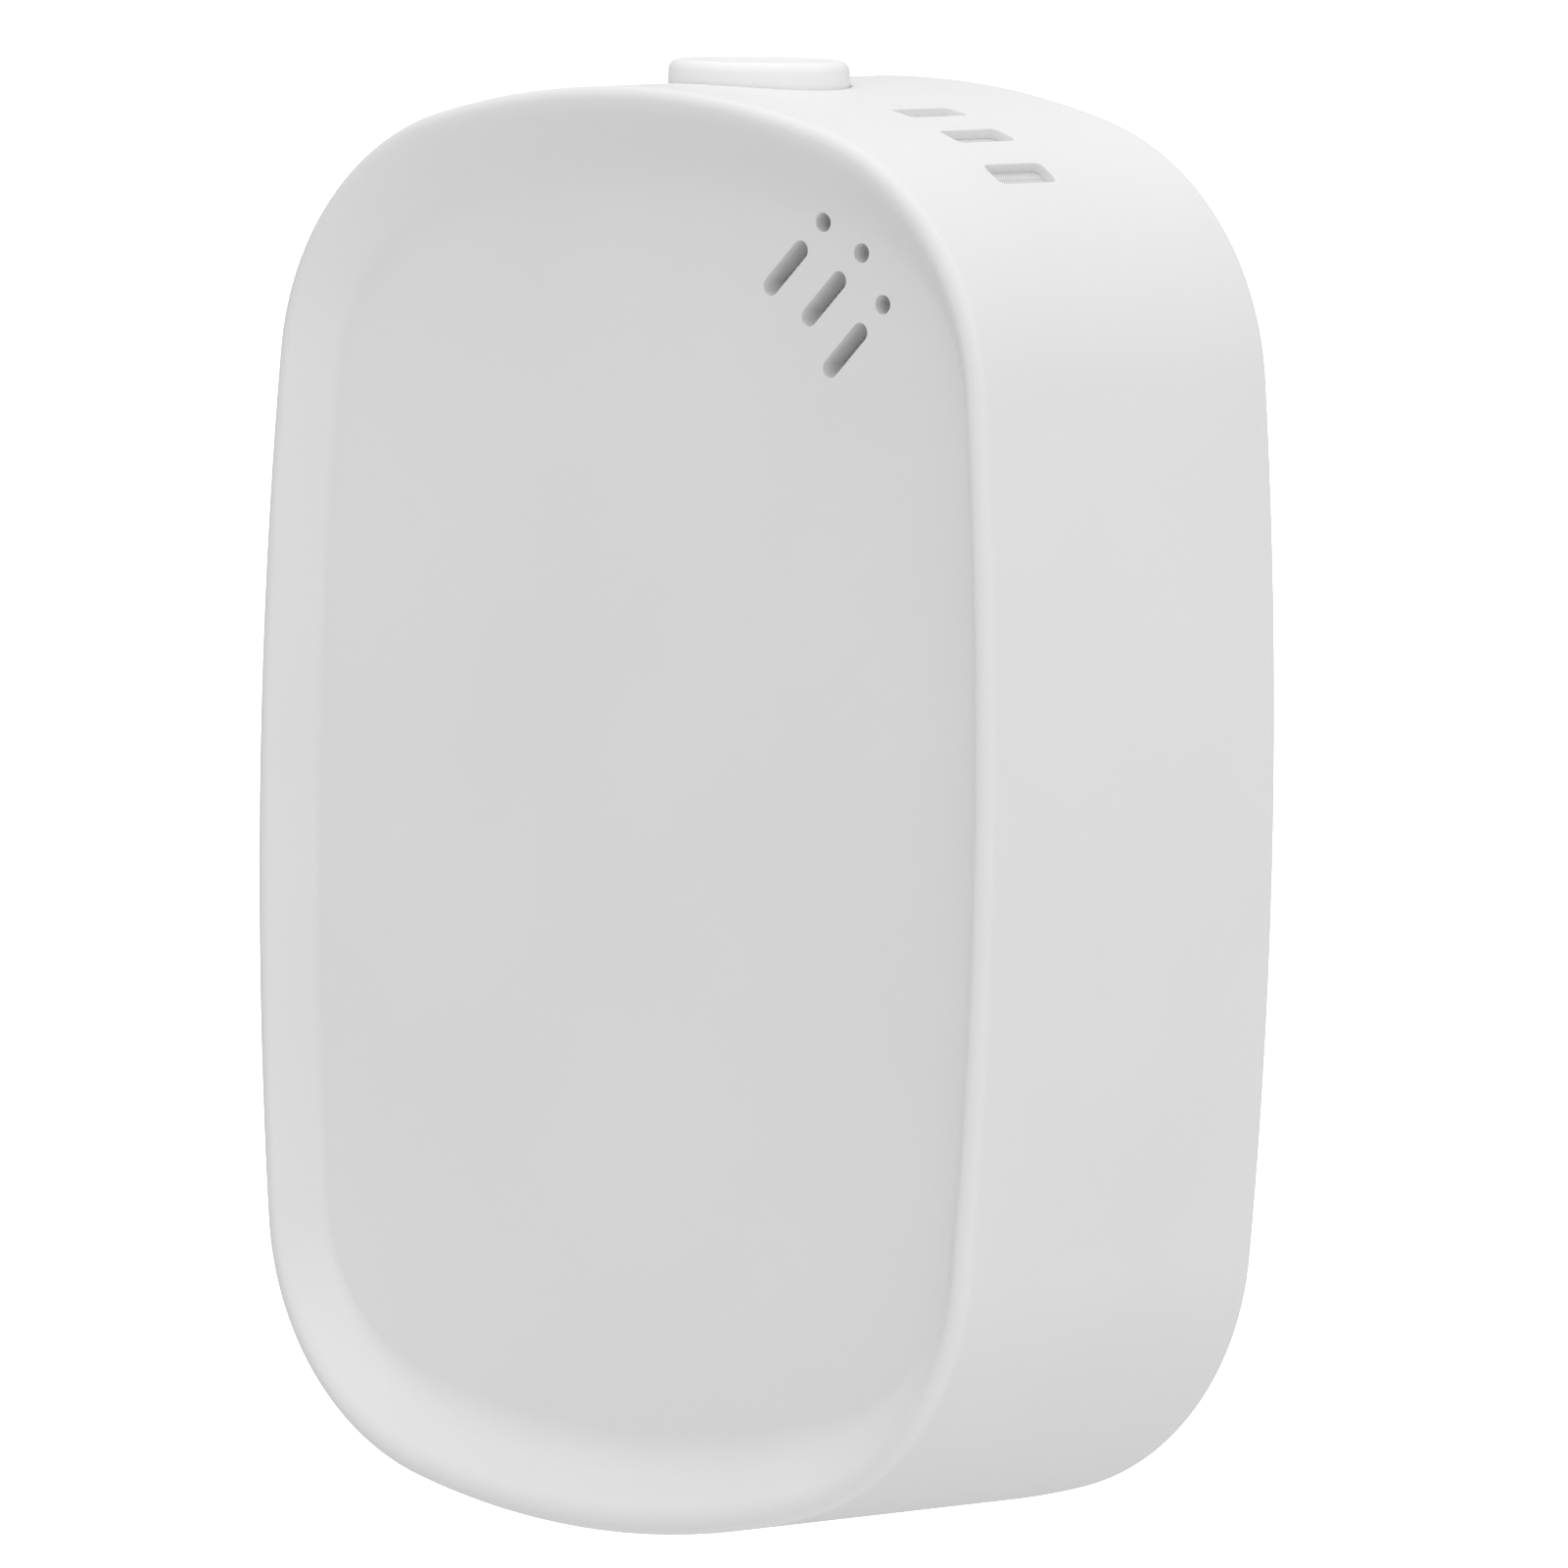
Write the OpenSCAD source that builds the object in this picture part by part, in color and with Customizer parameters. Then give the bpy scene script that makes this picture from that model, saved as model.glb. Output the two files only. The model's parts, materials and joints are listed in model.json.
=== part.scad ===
// Wall-mounted battery carbon monoxide detector.
// Millimetres, +Z up, front face towards -Y. The origin is on the wall plane, behind the middle of the body.

/* [Body] */
// Width of the body's outline at its rear edge
body_w = 60.2; // [59:0.2:61]
// Height of the body's outline at its rear edge
body_h = 90.6; // [90:0.2:92]
// Depth of the front housing, from its rear edge to the crest of the rim
body_d = 28.2; // [28:0.2:30]
// Radius of the long, slightly bulging sides
side_r = 302; // [250:5:350]
// Radius of the bulging top and bottom
top_r = 58.8; // [56:0.2:62]
// Radius of the four corners
corner_r = 17.8; // [17:0.1:18.5]
// How much smaller the outline is at the front, so that the shell leaves its mould
draft = 0.1; // [0.1:0.1:0.5]
// Wall thickness of the front housing
wall = 2; // [1.8:0.1:2.2]
// Gap between the rear edge and the wall that it hangs on
wall_gap = 0.6; // [0.4:0.1:0.8]

/* [Front dish] */
// Depth of the dished face below the rim's crest
dish_d = 2.5; // [1.6:0.1:2.6]
// Width of the slope from the crest down to the dish floor, along the sides
slope_side = 2.6; // [2.2:0.1:3.4]
// Width of the same slope at the top and bottom
slope_end = 5.4; // [4:0.1:6]
// Radius that rounds the rim's outer edge
rim_r = 0.8; // [0.5:0.1:1]

/* [Front slots] */
// Width of the slots, and diameter of the dots above them
slot_w = 1.2; // [1:0.1:1.6]
// Length of a slot between the centres of its round ends
slot_len = 3.3; // [3:0.1:4]
// Spacing from slot to slot
slot_pitch = 3.45; // [3.2:0.05:3.8]
// Distance from a slot's upper end to its dot
dot_gap = 2.55; // [2.2:0.05:2.8]
// How far the outer two slots are set back from the middle one
slot_setback = 0.95; // [0.6:0.05:1.2]

/* [Top vents] */
// Width of a vent along the outline
vent_w = 1.9; // [1.6:0.1:2.4]
// Length of a vent from front to back
vent_len = 5.6; // [5:0.2:7]
// Spacing of the vents along the outline
vent_pitch = 4.65; // [4.4:0.05:5]
// How much nearer the front each vent sits than the one above it
vent_step = 0.7; // [0:0.1:1]

/* [Test button] */
// Radius of the button's cap
button_r = 5.7; // [5.4:0.05:6]
// Radius that rounds the cap's top edge
button_edge = 0.7; // [0.4:0.1:1]
// Height of the cap above the body
button_proud = 1.4; // [1.2:0.1:1.8]
// Travel of the button and of the switch under it
button_travel = 0.8; // [0.5:0.1:0.8]

/* [Battery] */
// Radius of the lithium cell
cell_r = 8.5; // [8.3:0.1:8.5]
// Length of the lithium cell with its terminal
cell_len = 34.5; // [34:0.1:34.5]

/* [Wall plate] */
// Thickness of the wall plate
plate_t = 2.2; // [2:0.1:2.2]
// Spacing of its two wall screws
screw_spacing = 23; // [22:1:24]
// Radius of its screw holes
screw_hole_r = 2.2; // [2:0.1:2.4]
// How far the body lifts to come off the hooks
lift = 5; // [4.5:0.1:5]

/* [Hidden] */
$fn = 48;

// Depths, counted towards -Y from the wall plane.
rear_y = -wall_gap;
front_y = rear_y - body_d;
floor_y = front_y + dish_d;
inner_y = floor_y + wall;
cavity = wall + draft;

// The outline: three arcs a quarter, tangent where they meet.
side_cx = body_w / 2 - side_r;
top_cz = body_h / 2 - top_r;
arc_span = norm([side_cx, top_cz]);
arc_dir = [-side_cx, top_cz] / arc_span;
arc_along = (pow(side_r - corner_r, 2) - pow(top_r - corner_r, 2) + pow(arc_span, 2)) / (2 * arc_span);
arc_off = sqrt(pow(side_r - corner_r, 2) - pow(arc_along, 2));
corner = [side_cx + arc_along * arc_dir.x - arc_off * arc_dir.y, arc_along * arc_dir.y + arc_off * arc_dir.x];
side_end = atan2(corner.y, corner.x - side_cx);
top_start = atan2(corner.y - top_cz, corner.x);
side_steps = 4;
corner_steps = 12;
top_steps = 6;
dish_steps = 6;

// Shares of the slope's width that it bends in and out over, along the sides and at the top and bottom.
bend_side = [0.2, 0.2];
bend_end = [0.2, 0.5];

function polar(centre, r, angle) = centre + r * [cos(angle), sin(angle)];

// One quarter of the outline as [centre, radius, angle] rows, from the side's middle to the top's.
quarter = concat(
  [for (i = [0:side_steps - 1]) [[side_cx, 0], side_r, side_end * i / side_steps]],
  [for (i = [0:corner_steps - 1])
    [corner, corner_r, side_end + (top_start - side_end) * i / corner_steps]],
  [for (i = [0:top_steps]) [[0, top_cz], top_r, top_start + (90 - top_start) * i / top_steps]]
);

// The outline moved inwards, by one amount at the sides and another at the top and bottom.
function uneven_outline(side_inset, end_inset) = let (
  q = [for (g = quarter) polar(g[0], g[1] - side_inset - (end_inset - side_inset) * pow(sin(g[2]), 2), g[2])],
  n = len(q)
) concat(
  q,
  [for (i = [n - 2:-1:0]) [-q[i].x, q[i].y]],
  [for (i = [1:n - 1]) [-q[i].x, -q[i].y]],
  [for (i = [n - 2:-1:1]) [q[i].x, -q[i].y]]
);

function outline(inset) = uneven_outline(inset, inset);

// A point at a length s along the outline from the top's middle, and the outline's normal angle there.
top_arc_len = top_r * (90 - top_start) * PI / 180;
function normal_at(s) = s < top_arc_len
  ? 90 - s / top_r * 180 / PI
  : top_start - (s - top_arc_len) / corner_r * 180 / PI;
function point_at(s, inset) = s < top_arc_len
  ? polar([0, top_cz], top_r - inset, normal_at(s))
  : polar(corner, corner_r - inset, normal_at(s));

// Front slots run diagonally in the upper right corner. The middle one starts here.
slot_base = [12.95, 31.4];
slot_angle = 45;

// Top vents start at this length along the outline.
vent_first = 12.95;
vent_y = rear_y - body_d / 2;
// Depth of the seat that holds the vents' screen, below the outline.
vent_seat = 0.7;

// Test button, on the body's top.
button_y = vent_y - 1.3;
button_top = body_h / 2 - draft / 2 + button_proud;
bore_gap = 0.12;
stop_z = body_h / 2 - cavity - 0.75;
flange_r = button_r + 1.05;
flange_t = 1;
guide_r = flange_r + 0.2;
switch_top = 33.2;
collar_h = 1.3;
plunger_low = switch_top + button_travel + 0.02;
plunger_top = 37;

// Circuit board, parallel to the front.
board_y = -10.6;
board_t = 1.2;
board_inset = 3.6;
board_low = -12;
board_high = 37.5;
pin_stub = 1.2;

// Screws.
body_screws = [[23.6, 6], [-23.6, 6], [9, -39.2], [-9, -39.2]];
body_screw_y = -4.6;
board_screw_places = [[-18.5, 33.5], [22.5, -6.5], [-22.5, -6.5]];

// Sensor and buzzer.
sensor_at = [14.5, 17.2];
sensor_r = 8;
buzzer_at = [-14, 17.5];
buzzer_r = 11;
led_at = [17.6, 31.4];

// Rear cover.
cover_t = 1.8;
cover_in_y = rear_y - cover_t;
recess_y = -plate_t - 0.6;
recess_in_y = recess_y - cover_t;
recess_x = 18.6;
recess_low = -13;
recess_high = 38.6;

// Wall plate.
plate_x = 18;
plate_low = -7.5;
plate_high = 38;
plate_mid = 19.5;
sink_d = 1.3;
hooks = [[11, 27], [-11, 27], [11, 1], [-11, 1]];
hook_w = 8;
stem_t = 2;
lip_h = 4;
lip_t = 1.4;
lip_y = recess_in_y - 0.2;

// Battery bay and its door.
cell_z = -24.8;
bay_x = 18.8;
cell_y = cover_in_y - 0.3 - cell_r;
cell_x0 = -16.4;
door_x = 20.5;
door_low = -34.2;
door_high = -14.5;
door_t = 1.6;
hinge_y = -1.8;
hinge_z = -34.7;
knuckle_r = 1.2;
knuckle_x = 18.6;
pin_r = 0.8;
rib_pitch = 1.2;

// ---- helpers ----

module along_y(y0, y1) {
  translate([0, y1, 0]) rotate([90, 0, 0]) linear_extrude(y1 - y0) children();
}

module y_rod(at, r, y0, y1) {
  translate([at.x, y1, at.y]) rotate([90, 0, 0]) cylinder(r = r, h = y1 - y0);
}

module x_rod(y, z, r, x0, x1) {
  translate([x0, y, z]) rotate([0, 90, 0]) cylinder(r = r, h = x1 - x0);
}

module block(lo, hi) {
  translate(lo) cube(hi - lo);
}

// A flat rectangle with true round corners, from one corner to the other.
module round_rect(lo, hi, r) {
  translate([lo.x + r, lo.y]) square([hi.x - lo.x - 2 * r, hi.y - lo.y]);
  translate([lo.x, lo.y + r]) square([hi.x - lo.x, hi.y - lo.y - 2 * r]);
  for (x = [lo.x + r, hi.x - r], y = [lo.y + r, hi.y - r]) translate([x, y]) circle(r);
}

module outline_slab(inset, y0, y1) {
  along_y(y0, y1) polygon(outline(inset));
}

// Skin through a list of [side inset, end inset, y] rings, closed flat at both ends.
module ring_loft(rings) {
  n = len(outline(0));
  m = len(rings);
  points = [for (g = rings, p = uneven_outline(g[0], g[1])) [p.x, g[2], p.y]];
  sides = [for (j = [0:m - 2], i = [0:n - 1]) let (k = (i + 1) % n)
    [j * n + i, (j + 1) * n + i, (j + 1) * n + k, j * n + k]];
  rear = [for (i = [0:n - 1]) i];
  front = [for (i = [n - 1:-1:0]) (m - 1) * n + i];
  polyhedron(points, concat([rear], sides, [front]));
}

// ---- wall plate ----

module hook() {
  block([-hook_w / 2, lip_y - lip_t, -stem_t], [hook_w / 2, -plate_t, 0]);
  block([-hook_w / 2, lip_y - lip_t, -stem_t], [hook_w / 2, lip_y, lip_h]);
}

module wall_bracket() {
  color("whitesmoke") {
    difference() {
      along_y(-plate_t, 0) round_rect([-plate_x, plate_low], [plate_x, plate_high], 4);
      for (side = [-1, 1]) {
        z = plate_mid + side * screw_spacing / 2;
        y_rod([0, z], screw_hole_r, -plate_t - 1, 1);
        translate([0, -plate_t, z]) rotate([-90, 0, 0])
          cylinder(r1 = screw_hole_r + sink_d, r2 = screw_hole_r, h = sink_d);
      }
    }
    for (h = hooks) translate([h.x, 0, h.y]) hook();
  }
}

// ---- front housing ----

// How far across the slope the dish reaches a depth, as a share of the slope's width. The slope bends in
// over the first part of its width, runs straight, and bends out over the last part.
function slope_share(depth, bend) = let (
  run = 1 - (bend[0] + bend[1]) / 2,
  q = run * depth / dish_d
) q < bend[0] / 2 ? sqrt(2 * bend[0] * q)
  : q < 1 - bend[0] / 2 - bend[1] ? q + bend[0] / 2
  : 1 - sqrt(2 * bend[1] * max(0, run - q));

function even_ring(inset, y) = [inset, inset, y];

function shell_rings() = let (crest = draft + rim_r) concat(
  [even_ring(0, rear_y), even_ring(draft, front_y + rim_r)],
  [for (a = [30, 60, 90]) even_ring(draft + rim_r * (1 - cos(a)), front_y + rim_r * (1 - sin(a)))],
  [for (i = [1:dish_steps]) let (depth = dish_d * (1 - cos(180 * i / dish_steps)) / 2)
    [crest + slope_side * slope_share(depth, bend_side),
     crest + slope_end * slope_share(depth, bend_end), front_y + depth]]
);

module capsule(length, r) {
  translate([0, -r]) square([length, 2 * r]);
  circle(r);
  translate([length, 0]) circle(r);
}

// One slot and its dot, pointing at the corner.
module slot_and_dot() {
  capsule(slot_len, slot_w / 2);
  translate([slot_len + dot_gap, 0]) circle(slot_w / 2);
}

module front_slots() {
  along_y(front_y - 1, inner_y + 1) translate(slot_base) rotate(slot_angle)
    for (row = [-1:1]) translate([-abs(row) * slot_setback, row * slot_pitch]) slot_and_dot();
}

// A curved slab behind the vents, between two depths below the outline.
module vent_sector(depth_out, depth_in, grow) {
  steps = 10;
  s0 = vent_first - 2.2 - grow;
  s1 = vent_first + 2 * vent_pitch + 1.6 + grow;
  outer = [for (i = [0:steps]) point_at(s0 + (s1 - s0) * i / steps, depth_out)];
  inner = [for (i = [steps:-1:0]) point_at(s0 + (s1 - s0) * i / steps, depth_in)];
  half = vent_len / 2 + vent_step + 0.8 + grow;
  along_y(vent_y - vent_step - half, vent_y - vent_step + half) polygon(concat(outer, inner));
}

module top_vents() {
  for (i = [0:2]) {
    s = vent_first + i * vent_pitch;
    p = point_at(s, 0);
    translate([p.x, vent_y - i * vent_step, p.y]) rotate([0, 90 - normal_at(s), 0])
      translate([0, 0, -wall - 2]) linear_extrude(wall + 4)
        round_rect([-vent_w / 2, -vent_len / 2], [vent_w / 2, vent_len / 2], 0.5);
  }
}

module button_guide() {
  translate([0, button_y, stop_z]) cylinder(r = guide_r + 1, h = 1.6);
  translate([0, button_y, stop_z - 3]) difference() {
    cylinder(r = guide_r + 1, h = 3.2);
    translate([0, 0, -1]) cylinder(r = guide_r, h = 4);
  }
}

module boss_rib(at) {
  side = at.x > 0 ? 1 : -1;
  if (abs(at.x) > 20) {
    block([min(at.x, side * (body_w / 2 - 1.5)), inner_y - 1, at.y - 0.6],
          [max(at.x, side * (body_w / 2 - 1.5)), body_screw_y - 6, at.y + 0.6]);
  }
}

module front_housing() {
  color("white") difference() {
    union() {
      difference() {
        ring_loft(shell_rings());
        outline_slab(cavity, inner_y, 1);
      }
      for (at = body_screws) {
        y_rod(at, 2.4, inner_y - 0.5, body_screw_y);
        boss_rib(at);
      }
      for (at = board_screw_places) y_rod(at, 2.2, inner_y - 0.5, board_y);
      button_guide();
    }
    outline_slab(1.1, cover_in_y, 1);
    front_slots();
    top_vents();
    vent_sector(vent_seat - 0.05, cavity + 0.5, 0.1);
    translate([0, button_y, stop_z - 0.2]) cylinder(r = button_r + bore_gap, h = 10);
    for (at = body_screws) y_rod(at, 0.9, -14, 0);
    for (at = board_screw_places) y_rod(at, 0.7, -17, 0);
  }
}

module front_dust_screen() {
  color("dimgray") along_y(inner_y, inner_y + 0.4) translate(slot_base) rotate(slot_angle)
    round_rect([-2.4, -slot_pitch - 1.6], [slot_len + dot_gap + 1.5, slot_pitch + 1.6], 1);
}

module top_dust_screen() {
  color("gainsboro") vent_sector(vent_seat, vent_seat + 0.4, 0);
}

// ---- test button and its switch ----

module test_button() {
  skirt = stop_z - 0.05;
  bowl_r = 40;
  bowl_d = 0.24;
  color("white") difference() {
    union() {
      translate([0, button_y, 0]) rotate_extrude() polygon(concat(
        [[0, skirt - flange_t], [flange_r, skirt - flange_t], [flange_r, skirt], [button_r, skirt]],
        [for (a = [0:15:90])
          [button_r - button_edge * (1 - cos(a)), button_top - button_edge * (1 - sin(a))]],
        [[0, button_top]]
      ));
      translate([0, button_y, plunger_top + 0.05]) cylinder(r = 2, h = skirt - flange_t - plunger_top);
    }
    translate([0, button_y, button_top + bowl_r - bowl_d]) sphere(r = bowl_r, $fn = 96);
  }
}

module switch_case() {
  color("dimgray") {
    block([-3.1, button_y - 3.1, switch_top - 3.2], [3.1, button_y + 3.1, switch_top]);
    block([-3.1, button_y + 3.1, switch_top - 3.8], [3.1, board_y - 0.3, switch_top]);
    translate([0, button_y, switch_top - 0.2]) difference() {
      cylinder(r = 2.5, h = collar_h + 0.2);
      translate([0, 0, 0.2]) cylinder(r = 1.8, h = 3);
    }
  }
}

module switch_plunger() {
  color("black") translate([0, button_y, plunger_low]) cylinder(r = 1.7, h = plunger_top - plunger_low);
}

// The snap dome that pushes the plunger back up.
module switch_dome() {
  leaf = 0.08;
  rise = button_travel - leaf - 0.04;
  foot_r = 1.6;
  dome_r = (foot_r * foot_r + rise * rise) / (2 * rise);
  half = asin(foot_r / dome_r);
  color("silver") translate([0, button_y, switch_top + 0.02 + leaf + rise - dome_r])
    rotate_extrude() polygon(concat(
    [for (i = [0:8]) polar([0, 0], dome_r, 90 - half * i / 8)],
    [for (i = [8:-1:0]) polar([0, 0], dome_r - leaf, 90 - half * i / 8)]
  ));
}

module switch_terminals() {
  color("silver") for (x = [-2.25, 2.25]) {
    block([x - 0.35, board_y - 0.3, 29.8], [x + 0.35, board_y + board_t + pin_stub, 30.4]);
    block([x - 0.35, board_y - 0.3, 32.2], [x + 0.35, board_y + board_t + pin_stub, 32.8]);
  }
}

// ---- circuit board and what is on it ----

module main_circuit_board() {
  board_rear = board_y + board_t;
  color("darkgreen") difference() {
    intersection() {
      outline_slab(board_inset, board_y, board_rear);
      block([-40, -30, board_low], [40, 0, board_high]);
    }
    for (at = body_screws) y_rod(at, 3, -20, 0);
    for (at = board_screw_places) y_rod(at, 0.9, -20, 0);
    for (a = [0, 120, 240]) y_rod(sensor_at + 5 * [cos(a), sin(a)], 0.55, -20, 0);
    for (x = [-1, 1]) y_rod(buzzer_at + [5 * x, 0], 0.45, -20, 0);
    for (x = [-2.25, 2.25], z = [30.1, 32.5]) y_rod([x, z], 0.5, -20, 0);
    for (x = [-1, 1]) block([x * 18.6 - 0.35, -20, board_low - 1], [x * 18.6 + 0.35, 0, board_low + 2]);
  }
}

module phillips_screw(head_r, head_h, shank_r, length) {
  difference() {
    union() {
      cylinder(r = head_r, h = head_h);
      translate([0, 0, -length]) cylinder(r = shank_r, h = length);
    }
    for (a = [0, 90]) rotate(a) translate([-head_r * 0.6, -0.2, head_h * 0.4])
      cube([head_r * 1.2, 0.4, head_h]);
  }
}

module housing_screws() {
  color("silver") for (at = body_screws)
    translate([at.x, body_screw_y + 1.4, at.y]) rotate([-90, 0, 0]) phillips_screw(1.9, 1.5, 0.9, 9);
}

module board_screws() {
  color("silver") for (at = board_screw_places)
    translate([at.x, board_y + board_t, at.y]) rotate([-90, 0, 0]) phillips_screw(1.5, 1, 0.7, 6);
}

sensor_base = board_y - 1;
sensor_face = inner_y + 2;

module co_sensor_can() {
  color("silver") {
    y_rod(sensor_at, sensor_r, sensor_face, sensor_base);
    y_rod(sensor_at, sensor_r + 0.35, sensor_base - 0.8, sensor_base);
  }
}

module co_sensor_cap() {
  color("darkorange") difference() {
    y_rod(sensor_at, sensor_r - 0.4, sensor_face - 1, sensor_face);
    y_rod(sensor_at, 3.5, sensor_face - 2, sensor_face + 1);
  }
}

module co_sensor_filter() {
  color("white") y_rod(sensor_at, 3.5, sensor_face - 0.6, sensor_face);
}

module co_sensor_pins() {
  color("gold") for (a = [0, 120, 240])
    y_rod(sensor_at + 5 * [cos(a), sin(a)], 0.5, sensor_base, board_y + board_t + pin_stub);
}

module sensor_washer() {
  color("black") difference() {
    y_rod(sensor_at, sensor_r - 0.2, sensor_base, board_y);
    y_rod(sensor_at, 1.5, sensor_base - 1, board_y + 1);
    for (a = [0, 120, 240]) y_rod(sensor_at + 5 * [cos(a), sin(a)], 0.55, sensor_base - 1, board_y + 1);
  }
}

module buzzer_case() {
  face = board_y - 10;
  color("black") difference() {
    y_rod(buzzer_at, buzzer_r, face, board_y);
    y_rod(buzzer_at, buzzer_r - 1.2, face + 3.5, board_y + 1);
    y_rod(buzzer_at, 2, face - 1, face + 4);
  }
}

module buzzer_piezo_disc() {
  face = board_y - 10;
  color("goldenrod") {
    y_rod(buzzer_at, buzzer_r - 1.2, face + 3.5, face + 3.7);
    y_rod(buzzer_at, buzzer_r - 4, face + 3.7, face + 3.95);
  }
}

module buzzer_pins() {
  color("silver") for (x = [-1, 1])
    y_rod(buzzer_at + [5 * x, 0], 0.4, board_y - 6.05, board_y + board_t + pin_stub);
}

module status_led() {
  color("ivory")
    block([led_at.x - 1.6, board_y - 1.2, led_at.y - 1.6], [led_at.x + 1.6, board_y, led_at.y + 1.6]);
}

module light_pipe() {
  color("lightcyan") {
    y_rod(led_at, 1.5, inner_y + 0.6, board_y - 1.4);
    for (z = [-1, 1]) y_rod([led_at.x, led_at.y + 2.3 * z], 0.45, board_y - 3, board_y);
    block([led_at.x - 0.6, board_y - 3.6, led_at.y - 2.75], [led_at.x + 0.6, board_y - 2.6, led_at.y + 2.75]);
  }
}

// A flat part on the board's front, given its middle, size and height.
module on_board(at, size, height, base = 0) {
  block([at.x - size.x / 2, board_y - base - height, at.y - size.y / 2],
        [at.x + size.x / 2, board_y - base, at.y + size.y / 2]);
}

module microcontroller() {
  color("black") on_board([-15, -3], [7, 7], 0.9);
}

module radio_board() {
  color("navy") on_board([0, -1.5], [16, 13], 0.8);
}

module radio_shield() {
  color("silver") on_board([1.4, -1.5], [11.6, 11], 2, 0.8);
}

module sensor_amplifier() {
  color("black") on_board([14, 2.4], [5, 4], 1.5);
}

module quartz_crystal() {
  color("silver") on_board([-15, 3.4], [3.2, 2.5], 0.8);
}

module power_inductor() {
  color("dimgray") on_board([1.6, 9.4], [4, 4], 1.8);
}

module reservoir_capacitor() {
  color("black") y_rod([14, -6], 3.15, board_y - 7.7, board_y);
}

module surface_mount_parts() {
  color("peru") {
    for (i = [0:4]) on_board([-20.4 + 2.2 * i, -9.4], [1.6, 0.8], 0.6);
    for (i = [0:3]) on_board([-6 + 2.4 * i, -10.2], [1.6, 0.8], 0.6);
    for (i = [0:3]) on_board([1.8, 15 + 2.2 * i], [1.6, 0.8], 0.6);
    for (i = [0:2]) on_board([9.8 + 2.4 * i, 6.4], [1.6, 0.8], 0.6);
  }
}

// ---- rear cover ----

module cover_tub(grow, y0, y1) {
  along_y(y0, y1)
    round_rect([-recess_x - grow, recess_low - grow], [recess_x + grow, recess_high + grow], 4 + grow);
}

module hook_window(at) {
  block([at.x - hook_w / 2 - 0.4, recess_in_y - 1, at.y - stem_t - lift - 0.1],
        [at.x + hook_w / 2 + 0.4, 0, at.y + 0.1]);
}

module hook_pocket(at, grow) {
  block([at.x - hook_w / 2 - 0.4 - grow, lip_y - lip_t - 0.8 - grow, at.y - stem_t - lift - 0.1 - grow],
        [at.x + hook_w / 2 + 0.4 + grow, recess_in_y + (grow > 0 ? 0.5 : 0), at.y + lip_h + 0.6 + grow]);
}

module battery_bay() {
  bay_half = cell_r + 0.3;
  block([-bay_x, cell_y, cell_z - bay_half], [bay_x, 1, cell_z + bay_half]);
  x_rod(cell_y, cell_z, bay_half, -bay_x, bay_x);
}

module back_cover() {
  bay_half = cell_r + 0.3;
  tail_y = [-12.8, -8.4];
  color("white") difference() {
    union() {
      outline_slab(1.2, cover_in_y, rear_y);
      cover_tub(1.6, recess_in_y, cover_in_y + 0.5);
      for (at = hooks) hook_pocket(at, 1);
      for (at = body_screws) y_rod(at, 2.75, body_screw_y, cover_in_y + 0.5);
      block([-bay_x - 1.2, cell_y - bay_half - 1.2, cell_z - bay_half - 1.3],
            [bay_x + 1.2, cover_in_y + 0.5, cell_z + bay_half + 1.3]);
      for (x = [-1, 1]) block([x * 19.85 - 1.05, hinge_y - 1.6, hinge_z - 1.6],
                              [x * 19.85 + 1.05, cover_in_y + 0.5, hinge_z + 0.7]);
    }
    cover_tub(0, recess_y, 1);
    for (at = hooks) {
      hook_window(at);
      hook_pocket(at, 0);
    }
    for (at = body_screws) {
      y_rod(at, 1.15, -20, 1);
      y_rod(at, 2.1, body_screw_y + 1.4, 1);
    }
    battery_bay();
    block([-door_x - 0.2, cover_in_y, door_low - 0.2], [door_x + 0.2, 1, door_high + 0.2]);
    block([-knuckle_x - 0.2, hinge_y - knuckle_r - 0.25, hinge_z - knuckle_r - 0.2],
          [knuckle_x + 0.2, 1, door_low + 1.2]);
    block([-5.3, recess_y, door_high - 0.5], [5.3, 1, recess_low + 0.5]);
    x_rod(hinge_y, hinge_z, pin_r + 0.06, -20.5, 20.5);
    for (x = [-1, 1]) block([x * 18.6 - 0.3, tail_y.x, cell_z], [x * 18.6 + 0.3, tail_y.y, 0]);
  }
}

module rating_label() {
  color("gainsboro") along_y(rear_y, rear_y + 0.15) round_rect([-15, -31.5], [15, -19], 1.2);
}

// ---- battery, its contacts and its door ----

module battery_cell() {
  color("royalblue") x_rod(cell_y, cell_z, cell_r, cell_x0, cell_x0 + cell_len - 1);
}

module battery_positive_cap() {
  color("silver") x_rod(cell_y, cell_z, 3.2, cell_x0 + cell_len - 1, cell_x0 + cell_len);
}

// A contact plate against one end of the bay, with a tail up to the circuit board.
module contact_plate(side) {
  x = side * 18.6;
  block([x - 0.2, cell_y - 5.5, cell_z - 6], [x + 0.2, cell_y + 5.5, cell_z + 6]);
  block([x - 0.2, -12.6, cell_z + 5], [x + 0.2, -8.6, board_low + 1.6]);
}

module positive_contact() {
  color("silver") {
    contact_plate(1);
    x_rod(cell_y, cell_z, 2.2, cell_x0 + cell_len, 18.5);
  }
}

module negative_contact() {
  color("silver") contact_plate(-1);
}

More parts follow.
